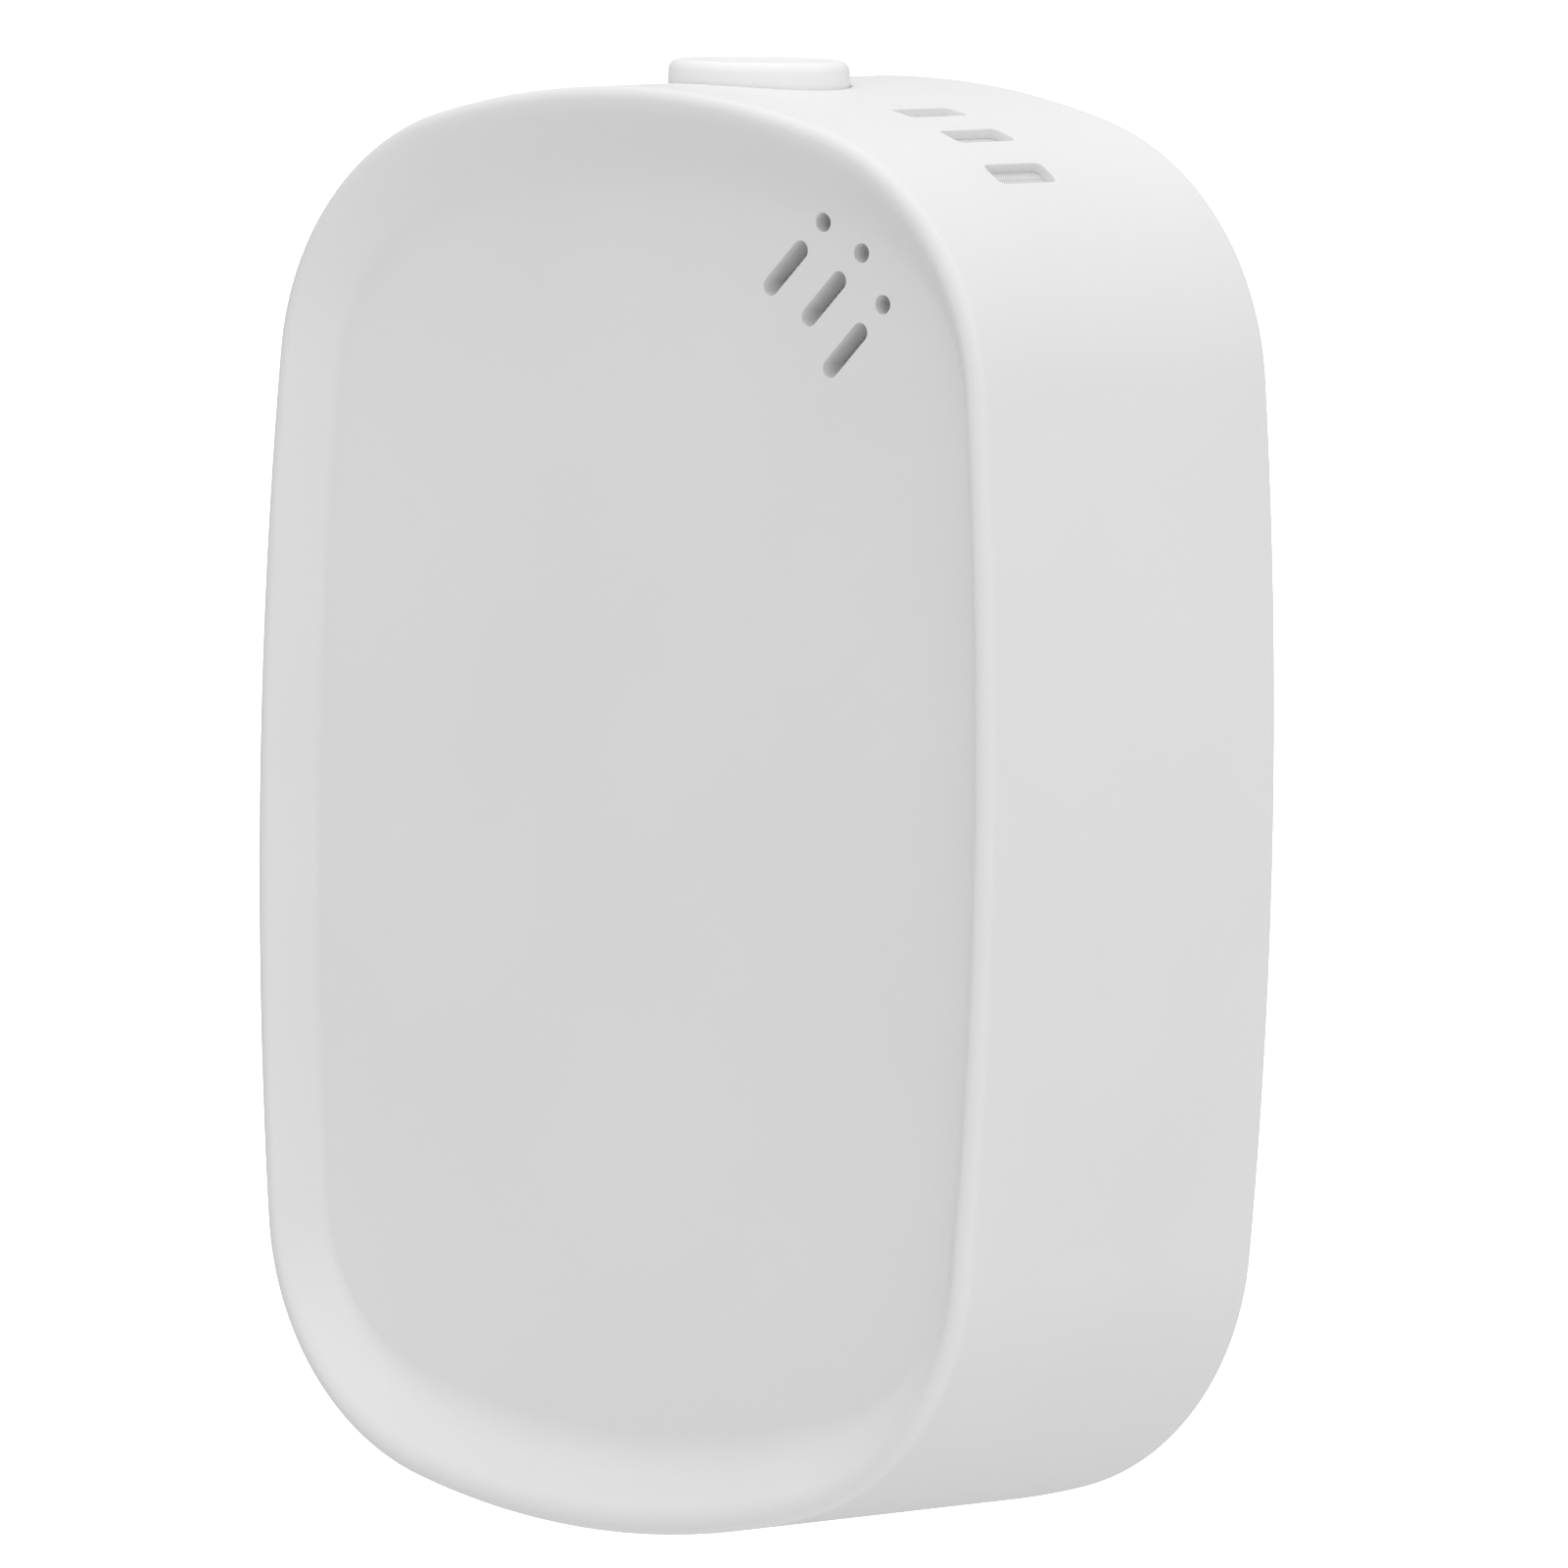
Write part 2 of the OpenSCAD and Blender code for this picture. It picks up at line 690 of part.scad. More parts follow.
// A conical coil, swept as an eight-sided wire.
module negative_spring() {
  turns = 2.5;
  steps = 60;
  sides = 8;
  wire_r = 0.3;
  x0 = -18.4 + wire_r;
  x1 = cell_x0 - wire_r;
  points = [for (i = [0:steps]) let (t = i / steps, a = 360 * turns * t, r = 5.2 - 2.4 * t)
    for (k = [0:sides - 1]) let (b = 360 * k / sides, q = r + wire_r * cos(b))
      [x0 + (x1 - x0) * t + wire_r * sin(b), cell_y + q * cos(a), cell_z + q * sin(a)]];
  faces = [for (i = [0:steps - 1], k = [0:sides - 1]) let (m = (k + 1) % sides)
    [i * sides + k, i * sides + m, (i + 1) * sides + m, (i + 1) * sides + k]];
  color("silver") polyhedron(points, concat(
    faces,
    [[for (k = [sides - 1:-1:0]) k]],
    [[for (k = [0:sides - 1]) steps * sides + k]]
  ));
}

module battery_door() {
  color("white") {
    block([-door_x, rear_y - door_t, door_low + 0.9], [door_x, rear_y, door_high]);
    block([-knuckle_x, rear_y - door_t, hinge_z], [knuckle_x, rear_y, door_low + 1]);
    block([-5, rear_y - door_t, door_high], [5, rear_y, recess_low - 0.6]);
    x_rod(hinge_y, hinge_z, knuckle_r, -knuckle_x, knuckle_x);
    x_rod(hinge_y, hinge_z, pin_r, -20.3, 20.3);
    for (i = [0:2]) block([-6, rear_y - 0.2, door_high - 1.3 - rib_pitch * i],
                          [6, rear_y + 0.3, door_high - 0.7 - rib_pitch * i]);
  }
}

module door_foam_pad() {
  color("dimgray") block([-12, cell_y + cell_r + 0.12, cell_z - 2.5], [12, rear_y - door_t, cell_z + 2.5]);
}

wall_bracket();
front_housing();
back_cover();
housing_screws();
rating_label();
front_dust_screen();
top_dust_screen();
test_button();
switch_case();
switch_plunger();
switch_dome();
switch_terminals();
main_circuit_board();
board_screws();
co_sensor_can();
co_sensor_cap();
co_sensor_filter();
co_sensor_pins();
sensor_washer();
buzzer_case();
buzzer_piezo_disc();
buzzer_pins();
status_led();
light_pipe();
microcontroller();
radio_board();
radio_shield();
sensor_amplifier();
quartz_crystal();
power_inductor();
reservoir_capacitor();
surface_mount_parts();
battery_cell();
battery_positive_cap();
positive_contact();
negative_contact();
negative_spring();
battery_door();
door_foam_pad();
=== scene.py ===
"""Looks of a wall-mounted battery carbon monoxide detector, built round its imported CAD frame.

Geometry is worked out in millimetres in the frame's own axes (+X right, +Y into the wall, +Z up) and
turned into metres when a mesh is made.
"""
import json
import math

import bpy
from mathutils import Matrix, Vector
from mathutils.geometry import delaunay_2d_cdt


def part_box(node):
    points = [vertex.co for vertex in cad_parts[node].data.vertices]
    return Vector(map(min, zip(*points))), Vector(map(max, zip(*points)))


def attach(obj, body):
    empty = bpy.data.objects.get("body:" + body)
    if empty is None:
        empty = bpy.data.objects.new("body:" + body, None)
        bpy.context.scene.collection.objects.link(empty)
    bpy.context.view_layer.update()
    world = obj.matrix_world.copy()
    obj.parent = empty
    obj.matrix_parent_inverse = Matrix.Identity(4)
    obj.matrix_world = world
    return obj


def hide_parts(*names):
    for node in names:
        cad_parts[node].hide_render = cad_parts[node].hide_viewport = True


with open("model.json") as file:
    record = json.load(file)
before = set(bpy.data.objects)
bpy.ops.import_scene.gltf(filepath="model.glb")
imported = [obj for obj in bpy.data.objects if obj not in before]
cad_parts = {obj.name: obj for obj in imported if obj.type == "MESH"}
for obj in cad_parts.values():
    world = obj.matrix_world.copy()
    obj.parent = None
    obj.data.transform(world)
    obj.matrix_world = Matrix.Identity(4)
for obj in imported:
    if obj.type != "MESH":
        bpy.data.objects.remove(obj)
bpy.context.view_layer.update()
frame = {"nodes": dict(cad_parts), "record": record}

MM = 0.001
NODES = frame["nodes"]


def box_mm(node):
    """Lowest and highest corner of a CAD node, in millimetres."""
    low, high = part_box(node)
    return low / MM, high / MM


# ---- driving dimensions, the same as in the CAD source ----

shell_low, shell_high = box_mm("front_housing")
REAR_Y, FRONT_Y = shell_high.y, shell_low.y
MID_Y = (REAR_Y + FRONT_Y) / 2
BODY_W, BODY_H = 2 * shell_high.x, 2 * shell_high.z
SIDE_R, TOP_R, CORNER_R = 302.0, 58.8, 17.8
DRAFT = 0.1
WALL = 2.0
CAVITY = WALL + DRAFT
RIM_R = 0.8
CREST = DRAFT + RIM_R
WALL_FRONT_Y = FRONT_Y + RIM_R

DISH_D = 2.5
SLOPE_SIDE, SLOPE_END = 2.6, 5.4
BEND_SIDE, BEND_END = (0.2, 0.2), (0.2, 0.5)
INNER_Y = FRONT_Y + DISH_D + WALL

COVER_EDGE = 1.1
COVER_IN_Y = REAR_Y - 1.8

SLOT_BASE = Vector((12.95, 31.4))
SLOT_AXIS = Vector((1, 1)).normalized()
SLOT_R, SLOT_LEN, SLOT_PITCH, DOT_GAP, SLOT_SETBACK = 0.6, 3.3, 3.45, 2.55, 0.95
SLOT_FILLET = 0.06

VENT_FIRST, VENT_PITCH, VENT_STEP, VENT_W, VENT_LEN, VENT_CORNER = 12.95, 4.65, 0.7, 1.9, 5.6, 0.5
VENT_FILLET = 0.1
# The seat of the vents' screen: its depth, and how far it reaches past the vents.
SEAT_DEPTH = 0.7
SEAT_BEFORE, SEAT_AFTER, SEAT_MARGIN = 2.3, 1.7, 0.9

button_low, button_high = box_mm("test_button")
BUTTON_AT = Vector((0, (button_low.y + button_high.y) / 2))
FLANGE_R = (button_high.x - button_low.x) / 2
FLANGE_TOP, FLANGE_T = BODY_H / 2 - CAVITY - 0.8, 1
BUTTON_R, BUTTON_EDGE = FLANGE_R - 1.05, 0.7
BORE_R, BORE_FILLET = BUTTON_R + 0.12, 0.1
GUIDE_R = FLANGE_R + 0.2
STEM_R = 2

BODY_SCREWS = [(23.6, 6), (-23.6, 6), (9, -39.2), (-9, -39.2)]
BODY_SCREW_Y = -4.6
BOARD_SCREWS = [(-18.5, 33.5), (22.5, -6.5), (-22.5, -6.5)]

# Angles, in degrees, at which the small fillets round the holes are cut into steps.
FILLET_STEPS = (0, 22.5, 45, 67.5, 90)


# ---- the outline ----

class Outline:
    """The body's outline: three arcs a quarter, tangent where they meet, measured from the top's middle."""

    def __init__(self, width, height, side_r, top_r, corner_r):
        side = Vector((width / 2 - side_r, 0))
        top = Vector((0, height / 2 - top_r))
        span = (top - side).length
        along = (top - side) / span
        reach = ((side_r - corner_r) ** 2 - (top_r - corner_r) ** 2 + span ** 2) / (2 * span)
        away = math.sqrt((side_r - corner_r) ** 2 - reach ** 2)
        corner = side + along * reach + Vector((-along.y, along.x)) * away
        side_end = math.atan2(corner.y, corner.x - side.x)
        top_start = math.atan2(corner.y - top.y, corner.x)
        self.arcs = [
            (top, top_r, math.pi / 2, top_start),
            (corner, corner_r, top_start, side_end),
            (side, side_r, side_end, 0.0),
        ]
        self.quarter = sum(r * (a - b) for _, r, a, b in self.arcs)
        self.half = 2 * self.quarter

    def locate(self, s):
        """The arc's centre and radius, the angle on it and the two mirror signs at a length s."""
        sign_x = 1 if s >= 0 else -1
        s = abs(s)
        sign_z = 1
        if s > self.quarter:
            s = self.half - s
            sign_z = -1
        for centre, r, start, end in self.arcs:
            length = r * (start - end)
            if s <= length or end == 0.0:
                return centre, r, start - s / r, sign_x, sign_z
            s -= length

    def point(self, s, inset):
        """The point (x, z) at a length s, moved inwards by the inset."""
        centre, r, angle, sign_x, sign_z = self.locate(s)
        p = centre + (r - inset) * Vector((math.cos(angle), math.sin(angle)))
        return Vector((p.x * sign_x, p.y * sign_z))

    def normal(self, s):
        """The outward direction at a length s."""
        _, _, angle, sign_x, sign_z = self.locate(s)
        return Vector((math.cos(angle) * sign_x, math.sin(angle) * sign_z))

    def inset_of(self, x, z):
        """How far inside the outline a point is, and the outline's normal angle there."""
        p = Vector((abs(x), abs(z)))
        top, corner, side = self.arcs
        for centre, r, start, end in (corner, top, side):
            angle = math.atan2(p.y - centre.y, p.x - centre.x)
            if end - 1e-9 <= angle <= start + 1e-9:
                return r - (p - centre).length, angle
        return self.quarter, 0.0

    def samples(self, steps=(18, 28, 14)):
        """Lengths round the whole outline, dense where it bends, without the closing one."""
        cuts, s = [], 0.0
        for (_, r, start, end), n in zip(self.arcs, steps):
            length = r * (start - end)
            cuts += [s + length * i / n for i in range(n)]
            s += length
        right = cuts + [self.quarter] + [self.half - c for c in reversed(cuts)]
        return right + [-c for c in reversed(right[1:-1])]


OUTLINE = Outline(BODY_W, BODY_H, SIDE_R, TOP_R, CORNER_R)
ROUND = OUTLINE.samples()


# ---- mesh building ----

class Skin:
    """Collects faces with a normal at each corner, and welds the corners that coincide."""

    def __init__(self):
        self.index = {}
        self.points = []
        self.faces = []
        self.normals = []

    def vertex(self, p):
        """The index of a point, shared with any that coincides."""
        key = (round(p.x, 4), round(p.y, 4), round(p.z, 4))
        if key not in self.index:
            self.index[key] = len(self.points)
            self.points.append(p)
        return self.index[key]

    def face(self, corners):
        """corners is a list of (point, normal). The winding follows the normals."""
        ids, kept = [], []
        for p, n in corners:
            i = self.vertex(p)
            if i not in ids:
                ids.append(i)
                kept.append((self.points[i], n))
        if len(ids) < 3:
            return
        across = Vector((0, 0, 0))
        for (p, _), (q, _) in zip(kept, kept[1:] + kept[:1]):
            across += p.cross(q)
        if across.length < 1e-9:
            return
        if across.dot(sum((n for _, n in kept), Vector((0, 0, 0)))) < 0:
            ids.reverse()
            kept.reverse()
        self.faces.append(ids)
        self.normals += [n.normalized() for _, n in kept]

    def loft(self, rings):
        """Quads from each closed ring of (point, normal) to the next one."""
        for a, b in zip(rings, rings[1:]):
            for i in range(len(a)):
                k = (i + 1) % len(a)
                self.face([a[i], a[k], b[k], b[i]])

    def cap(self, ring, normal):
        """One flat face inside a ring."""
        self.face([(p, normal) for p, _ in ring])

    def build(self, name):
        """Turns the collected faces into a mesh object in the scene."""
        mesh = bpy.data.meshes.new(name)
        mesh.from_pydata([p * MM for p in self.points], [], self.faces)
        mesh.shade_smooth()
        mesh.normals_split_custom_set([tuple(n) for n in self.normals])
        obj = bpy.data.objects.new(name, mesh)
        bpy.context.scene.collection.objects.link(obj)
        return obj


def inside(p, loop):
    """Whether a 2-D point lies inside a closed loop."""
    hit = False
    for a, b in zip(loop, loop[1:] + loop[:1]):
        if (a.y > p.y) != (b.y > p.y) and p.x < (b.x - a.x) * (p.y - a.y) / (b.y - a.y) + a.x:
            hit = not hit
    return hit


def near(p, loop, gap):
    """Whether a point lies closer than the gap to one of a loop's points."""
    return any((p - q).length < gap for q in loop)


def perforated(skin, border, holes, fill, place):
    """Triangles over a 2-D region with holes. place turns a 2-D point into (point, normal)."""
    points, edges = [], []
    for loop in [border] + holes:
        first = len(points)
        points += loop
        edges += [(first + i, first + (i + 1) % len(loop)) for i in range(len(loop))]
    points += [p for p in fill if not any(inside(p, h) or near(p, h, 0.25) for h in holes)]
    flat, _, faces, *_ = delaunay_2d_cdt(points, edges, [], 1, 1e-6)
    placed = [place(p) for p in flat]
    for f in faces:
        middle = sum((flat[i] for i in f), Vector((0, 0))) / len(f)
        if not any(inside(middle, h) for h in holes):
            skin.face([placed[i] for i in f])


def arc_points(centre, r, start, end, steps):
    """Points on an arc between two angles in degrees, both ends included."""
    out = []
    for i in range(steps + 1):
        a = math.radians(start + (end - start) * i / steps)
        out.append(centre + r * Vector((math.cos(a), math.sin(a))))
    return out


def capsule_loop(length, r, steps=12):
    """A slot's loop from (0, 0) along +x, and the outward direction at each of its points."""
    ends = [(Vector((length, 0)), -90), (Vector((0, 0)), 90)]
    points = [p for c, a in ends for p in arc_points(c, r, a, a + 180, steps)]
    outward = [p for _, a in ends for p in arc_points(Vector((0, 0)), 1, a, a + 180, steps)]
    return points, outward


def circle_loop(centre, r, steps):
    """A circle's loop, and the outward direction at each of its points."""
    angles = [math.tau * i / steps for i in range(steps)]
    outward = [Vector((math.cos(a), math.sin(a))) for a in angles]
    return [centre + r * o for o in outward], outward


def rounded_loop(width, length, r, steps=6):
    """A rounded rectangle round the origin, and the outward direction at each of its points."""
    corners = [(1, 1, 0), (-1, 1, 90), (-1, -1, 180), (1, -1, 270)]
    points, outward = [], []
    for sx, sy, a in corners:
        centre = Vector((sx * (width / 2 - r), sy * (length / 2 - r)))
        points += arc_points(centre, r, a, a + 90, steps)
        outward += arc_points(Vector((0, 0)), 1, a, a + 90, steps)
    return points, outward


def fillet_path(corners, steps=6):
    """A path through (x, y, radius) corners as (point, normal), with the normal on the right of travel."""
    points = [Vector(c[:2]) for c in corners]
    path = []

    def right_of(direction):
        return Vector((direction.y, -direction.x))

    for i, (_, _, r) in enumerate(corners):
        here = points[i]
        before = (here - points[i - 1]).normalized() if i else None
        after = (points[i + 1] - here).normalized() if i < len(corners) - 1 else None
        if before is None or after is None:
            path.append((here, right_of(before or after)))
            continue
        turn = before.angle_signed(after)
        if r == 0 or abs(turn) < 1e-6:
            path += [(here, right_of(before)), (here, right_of(after))]
            continue
        back_off = r * math.tan(abs(turn) / 2)
        start = here - before * back_off
        side = right_of(before) * (1 if turn > 0 else -1)
        centre = start + side * r
        for k in range(steps + 1):
            spin = Matrix.Rotation(-turn * k / steps, 2)
            arm = spin @ -side
            path.append((centre + arm * r, arm if turn < 0 else -arm))
    return path


AXES = {
    "x": (Vector((0, 1, 0)), Vector((0, 0, 1)), Vector((1, 0, 0))),
    "y": (Vector((0, 0, 1)), Vector((1, 0, 0)), Vector((0, 1, 0))),
    "z": (Vector((1, 0, 0)), Vector((0, 1, 0)), Vector((0, 0, 1))),
}


def turned(skin, origin, axis, path, steps=64):
    """A surface of revolution. path is a list of 2-D (point, normal), as radius and height on the axis."""
    across, up, along = AXES[axis]
    rings = []
    for p, n in path:
        ring = []
        for i in range(steps):
            out = across * math.cos(math.tau * i / steps) + up * math.sin(math.tau * i / steps)
            ring.append((origin + out * p.x + along * p.y, out * n.x + along * n.y))
        rings.append(ring)
    skin.loft(rings)


def lathe(skin, origin, axis, corners, steps=64):
    """A turned solid from (radius, height, fillet) corners, with the outside on the right of travel."""
    turned(skin, origin, axis, fillet_path(corners), steps)


# ---- front housing ----

def slope_share(depth, bend):
    """How far across the slope the dish reaches a depth, as a share of the slope's width."""
    run = 1 - (bend[0] + bend[1]) / 2
    q = run * depth / DISH_D
    if q < bend[0] / 2:
        return math.sqrt(2 * bend[0] * q)
    if q < 1 - bend[0] / 2 - bend[1]:
        return q + bend[0] / 2
    return 1 - math.sqrt(2 * bend[1] * max(0.0, run - q))


def dish_inset(depth, angle):
    """How far inside the outline the dish reaches a depth, where the outline's normal has this angle."""
    side = SLOPE_SIDE * slope_share(depth, BEND_SIDE)
    end = SLOPE_END * slope_share(depth, BEND_END)
    return CREST + side + (end - side) * math.sin(angle) ** 2


def front_depth(x, z):
    """The depth y of the front surface over a point, found by halving the dish's depth range."""
    inset, angle = OUTLINE.inset_of(x, z)
    if inset >= dish_inset(DISH_D, angle):
        return FRONT_Y + DISH_D
    low, high = 0.0, DISH_D
    for _ in range(24):
        middle = (low + high) / 2
        if dish_inset(middle, angle) < inset:
            low = middle
        else:
            high = middle
    return FRONT_Y + (low + high) / 2


def front_place(p):
    """The front surface's point and normal over a point (x, z)."""
    h = 0.03
    dx = (front_depth(p.x + h, p.y) - front_depth(p.x - h, p.y)) / (2 * h)
    dz = (front_depth(p.x, p.y + h) - front_depth(p.x, p.y - h)) / (2 * h)
    return Vector((p.x, front_depth(p.x, p.y), p.y)), Vector((dx, -1, dz)).normalized()


def dish_ring(depth):
    """Points (x, z) round the front at one depth of the dish."""
    return [OUTLINE.point(s, dish_inset(depth, OUTLINE.locate(s)[2])) for s in ROUND]


def outline_ring(inset, y, tilt):
    """A ring of (point, normal). tilt turns the normal from outward (0 degrees) towards the front (90)."""
    out, a = [], math.radians(tilt)
    for s in ROUND:
        p, n = OUTLINE.point(s, inset), OUTLINE.normal(s)
        normal = Vector((n.x * math.cos(a), -math.sin(a), n.y * math.cos(a)))
        out.append((Vector((p.x, y, p.y)), normal))
    return out


def wall_inset(y):
    """How far the side wall has leant in from the outline at a depth y."""
    return DRAFT * (REAR_Y - y) / (REAR_Y - WALL_FRONT_Y)


def wall_place(p):
    """The side wall's point and normal at a length p.x round the outline and a depth p.y."""
    q, n = OUTLINE.point(p.x, wall_inset(p.y)), OUTLINE.normal(p.x)
    tilt = DRAFT / (REAR_Y - WALL_FRONT_Y)
    return Vector((q.x, p.y, q.y)), Vector((n.x, -tilt, n.y)).normalized()


def inward_place(inset):
    """A placer for the inner side of the wall, at one inset."""
    def place(p):
        q, n = OUTLINE.point(p.x, inset), OUTLINE.normal(p.x)
        return Vector((q.x, p.y, q.y)), Vector((-n.x, 0, -n.y))
    return place


inner_place = inward_place(CAVITY)
seat_place = inward_place(SEAT_DEPTH)


def slot_shapes():
    """Each front hole as a function from an outward offset to its loop in (x, z) and outward directions."""
    across = Vector((-SLOT_AXIS.y, SLOT_AXIS.x))

    def to_front(local, base):
        return base + SLOT_AXIS * local.x + across * local.y

    shapes = []
    for row in (-1, 0, 1):
        base = SLOT_BASE - SLOT_AXIS * abs(row) * SLOT_SETBACK + across * row * SLOT_PITCH

        def slot(offset, base=base):
            points, outward = capsule_loop(SLOT_LEN, SLOT_R + offset)
            return [to_front(p, base) for p in points], [to_front(o, Vector((0, 0))) for o in outward]

        def dot(offset, base=base):
            centre = to_front(Vector((SLOT_LEN + DOT_GAP, 0)), base)
            return circle_loop(centre, SLOT_R + offset, 32)

        shapes += [slot, dot]
    return shapes


def front_hole(skin, shape):
    """Cuts one hole through the front and returns its loops on the outer and inner faces."""
    mouth, outward = shape(SLOT_FILLET)
    placed = [front_place(p) for p in mouth]
    rings = []
    for tilt in FILLET_STEPS:
        a = math.radians(tilt)
        loop, _ = shape(SLOT_FILLET * (1 - math.sin(a)))
        ring = []
        for p, o, (surface, n) in zip(loop, outward, placed):
            y = surface.y + SLOT_FILLET * (1 - math.cos(a))
            ring.append((Vector((p.x, y, p.y)), n * math.cos(a) - Vector((o.x, 0, o.y)) * math.sin(a)))
        rings.append(ring)
    loop, _ = shape(0)
    rings.append([(Vector((p.x, INNER_Y, p.y)), -Vector((o.x, 0, o.y))) for p, o in zip(loop, outward)])
    skin.loft(rings)
    return mouth, loop


def side_vent(skin, centre):
    """Cuts one vent through the side wall and returns its loops, as lengths and depths."""
    def loop_at(offset):
        points, outward = rounded_loop(VENT_W + 2 * offset, VENT_LEN + 2 * offset, VENT_CORNER + offset)
        return [centre + p for p in points], outward

    def ring_at(offset, inset_at, tilt):
        loop, outward = loop_at(offset)
        a, ring = math.radians(tilt), []
        for p, o in zip(loop, outward):
            q, n = OUTLINE.point(p.x, inset_at(p.y)), OUTLINE.normal(p.x)
            away = Vector((n.y, 0, -n.x)) * o.x + Vector((0, o.y, 0))
            ring.append((Vector((q.x, p.y, q.y)), Vector((n.x, 0, n.y)) * math.cos(a) - away * math.sin(a)))
        return ring

    rings = []
    for tilt in FILLET_STEPS:
        offset = VENT_FILLET * (1 - math.sin(math.radians(tilt)))
        drop = VENT_FILLET * (1 - math.cos(math.radians(tilt)))
        rings.append(ring_at(offset, lambda y: wall_inset(y) + drop, tilt))
    rings.append(ring_at(0, lambda y: SEAT_DEPTH, 90))
    skin.loft(rings)
    return loop_at(VENT_FILLET)[0], loop_at(0)[0]


def vent_seat(skin, vents):
    """The shallow seat for the screen behind the vents. Returns its loop on the cavity's wall."""
    start = VENT_FIRST - SEAT_BEFORE
    end = VENT_FIRST + 2 * VENT_PITCH + SEAT_AFTER
    half = VENT_LEN / 2 + VENT_STEP + SEAT_MARGIN
    middle = Vector(((start + end) / 2, MID_Y - VENT_STEP))
    low_y, high_y = middle.y - half, middle.y + half
    steps = 20
    lengths = [start + (end - start) * i / steps for i in range(steps + 1)]
    loop = [Vector((s, low_y)) for s in lengths] + [Vector((s, high_y)) for s in reversed(lengths)]
    border_gap = 0.5
    fill = [Vector((s, y)) for s in lengths[1:-1] for y in (low_y + border_gap, high_y - border_gap)]
    perforated(skin, loop, vents, fill, seat_place)
    rings = []
    for inset in (SEAT_DEPTH, CAVITY):
        ring = []
        for p in loop:
            q, n = OUTLINE.point(p.x, inset), OUTLINE.normal(p.x)
            if abs(p.x - start) < 1e-6 or abs(p.x - end) < 1e-6:
                out = Vector((n.y, 0, -n.x)) * math.copysign(1, middle.x - p.x)
            else:
                out = Vector((0, math.copysign(1, middle.y - p.y), 0))
            ring.append((Vector((q.x, p.y, q.y)), out))
        rings.append(ring)
    skin.loft(rings)
    return loop


def button_bore(skin):
    """Cuts the button's round hole and returns its loops, as lengths and depths."""
    steps = 72

    def length_at(x, inset):
        return TOP_R * math.asin(x / (TOP_R - inset))

    rings, mouth, back = [], [], []
    for tilt in FILLET_STEPS:
        a = math.radians(tilt)
        drop = Vector((0, 0, BORE_FILLET * (1 - math.cos(a))))
        loop, outward = circle_loop(BUTTON_AT, BORE_R + BORE_FILLET * (1 - math.sin(a)), steps)
        ring = []
        for p, o in zip(loop, outward):
            s = length_at(p.x, wall_inset(p.y))
            surface, n = wall_place(Vector((s, p.y)))
            if tilt == 0:
                mouth.append(Vector((s, p.y)))
            ring.append((surface - drop, n * math.cos(a) - Vector((o.x, o.y, 0)) * math.sin(a)))
        rings.append(ring)
    loop, outward = circle_loop(BUTTON_AT, BORE_R, steps)
    ring = []
    for p, o in zip(loop, outward):
        s = length_at(p.x, CAVITY)
        back.append(Vector((s, p.y)))
        ring.append((inner_place(Vector((s, p.y)))[0], -Vector((o.x, o.y, 0))))
    rings.append(ring)
    skin.loft(rings)
    return mouth, back


def band(low_y, high_y, rows):
    """The side wall unrolled: its border and its inner points, as lengths and depths."""
    lengths = [-OUTLINE.half] + sorted(ROUND)
    depths = [low_y + (high_y - low_y) * i / rows for i in range(rows + 1)]
    border = [Vector((s, low_y)) for s in lengths] + [Vector((lengths[-1], y)) for y in depths[1:-1]]
    border += [Vector((s, high_y)) for s in reversed(lengths)]
    border += [Vector((lengths[0], y)) for y in reversed(depths[1:-1])]
    fill = [Vector((s, y)) for s in lengths[1:-1] for y in depths[1:-1]]
    return border, fill


def boss(skin, x, z, face_y, outer_r, hole_r, hole_end):
    """A screw boss on the front's inner face, with its blind hole."""
    root = INNER_Y - 0.5
    lathe(skin, Vector((x, 0, z)), "y", [
        (outer_r, root, 0), (outer_r, face_y, 0.2), (hole_r, face_y, 0.1),
        (hole_r, hole_end, 0), (0, hole_end, 0)], 32)


def bosses(skin):
    """Screw bosses for the cover and the board, and the ring that guides the button."""
    for x, z in BODY_SCREWS:
        boss(skin, x, z, BODY_SCREW_Y, outer_r=2.4, hole_r=0.9, hole_end=-14)
    board_y = box_mm("main_circuit_board")[0].y
    for x, z in BOARD_SCREWS:
        boss(skin, x, z, board_y, outer_r=2.2, hole_r=0.7, hole_end=-17)
    stop = FLANGE_TOP + 0.05
    lathe(skin, Vector((0, BUTTON_AT.y, 0)), "z",
          [(BORE_R, stop + 1.3, 0), (BORE_R, stop, 0.1), (GUIDE_R, stop, 0), (GUIDE_R, stop - 3, 0.15),
           (GUIDE_R + 1, stop - 3, 0.2), (GUIDE_R + 1, stop + 1.4, 0)], 72)


def rear_edge(skin, edge_r):
    """The rounded rear edge, and the step that the rear cover sits in."""
    base_inset = wall_inset(REAR_Y - edge_r)
    rings = []
    for tilt in range(0, 91, 18):
        a = math.radians(tilt)
        inset, y = base_inset + edge_r * (1 - math.cos(a)), REAR_Y - edge_r * (1 - math.sin(a))
        rings.append(outline_ring(inset, y, -tilt))
    rings.append(outline_ring(COVER_EDGE, REAR_Y, -90))
    skin.loft(rings)
    skin.loft([outline_ring(COVER_EDGE, REAR_Y, 180), outline_ring(COVER_EDGE, COVER_IN_Y, 180)])
    skin.loft([outline_ring(COVER_EDGE, COVER_IN_Y, -90), outline_ring(CAVITY, COVER_IN_Y, -90)])


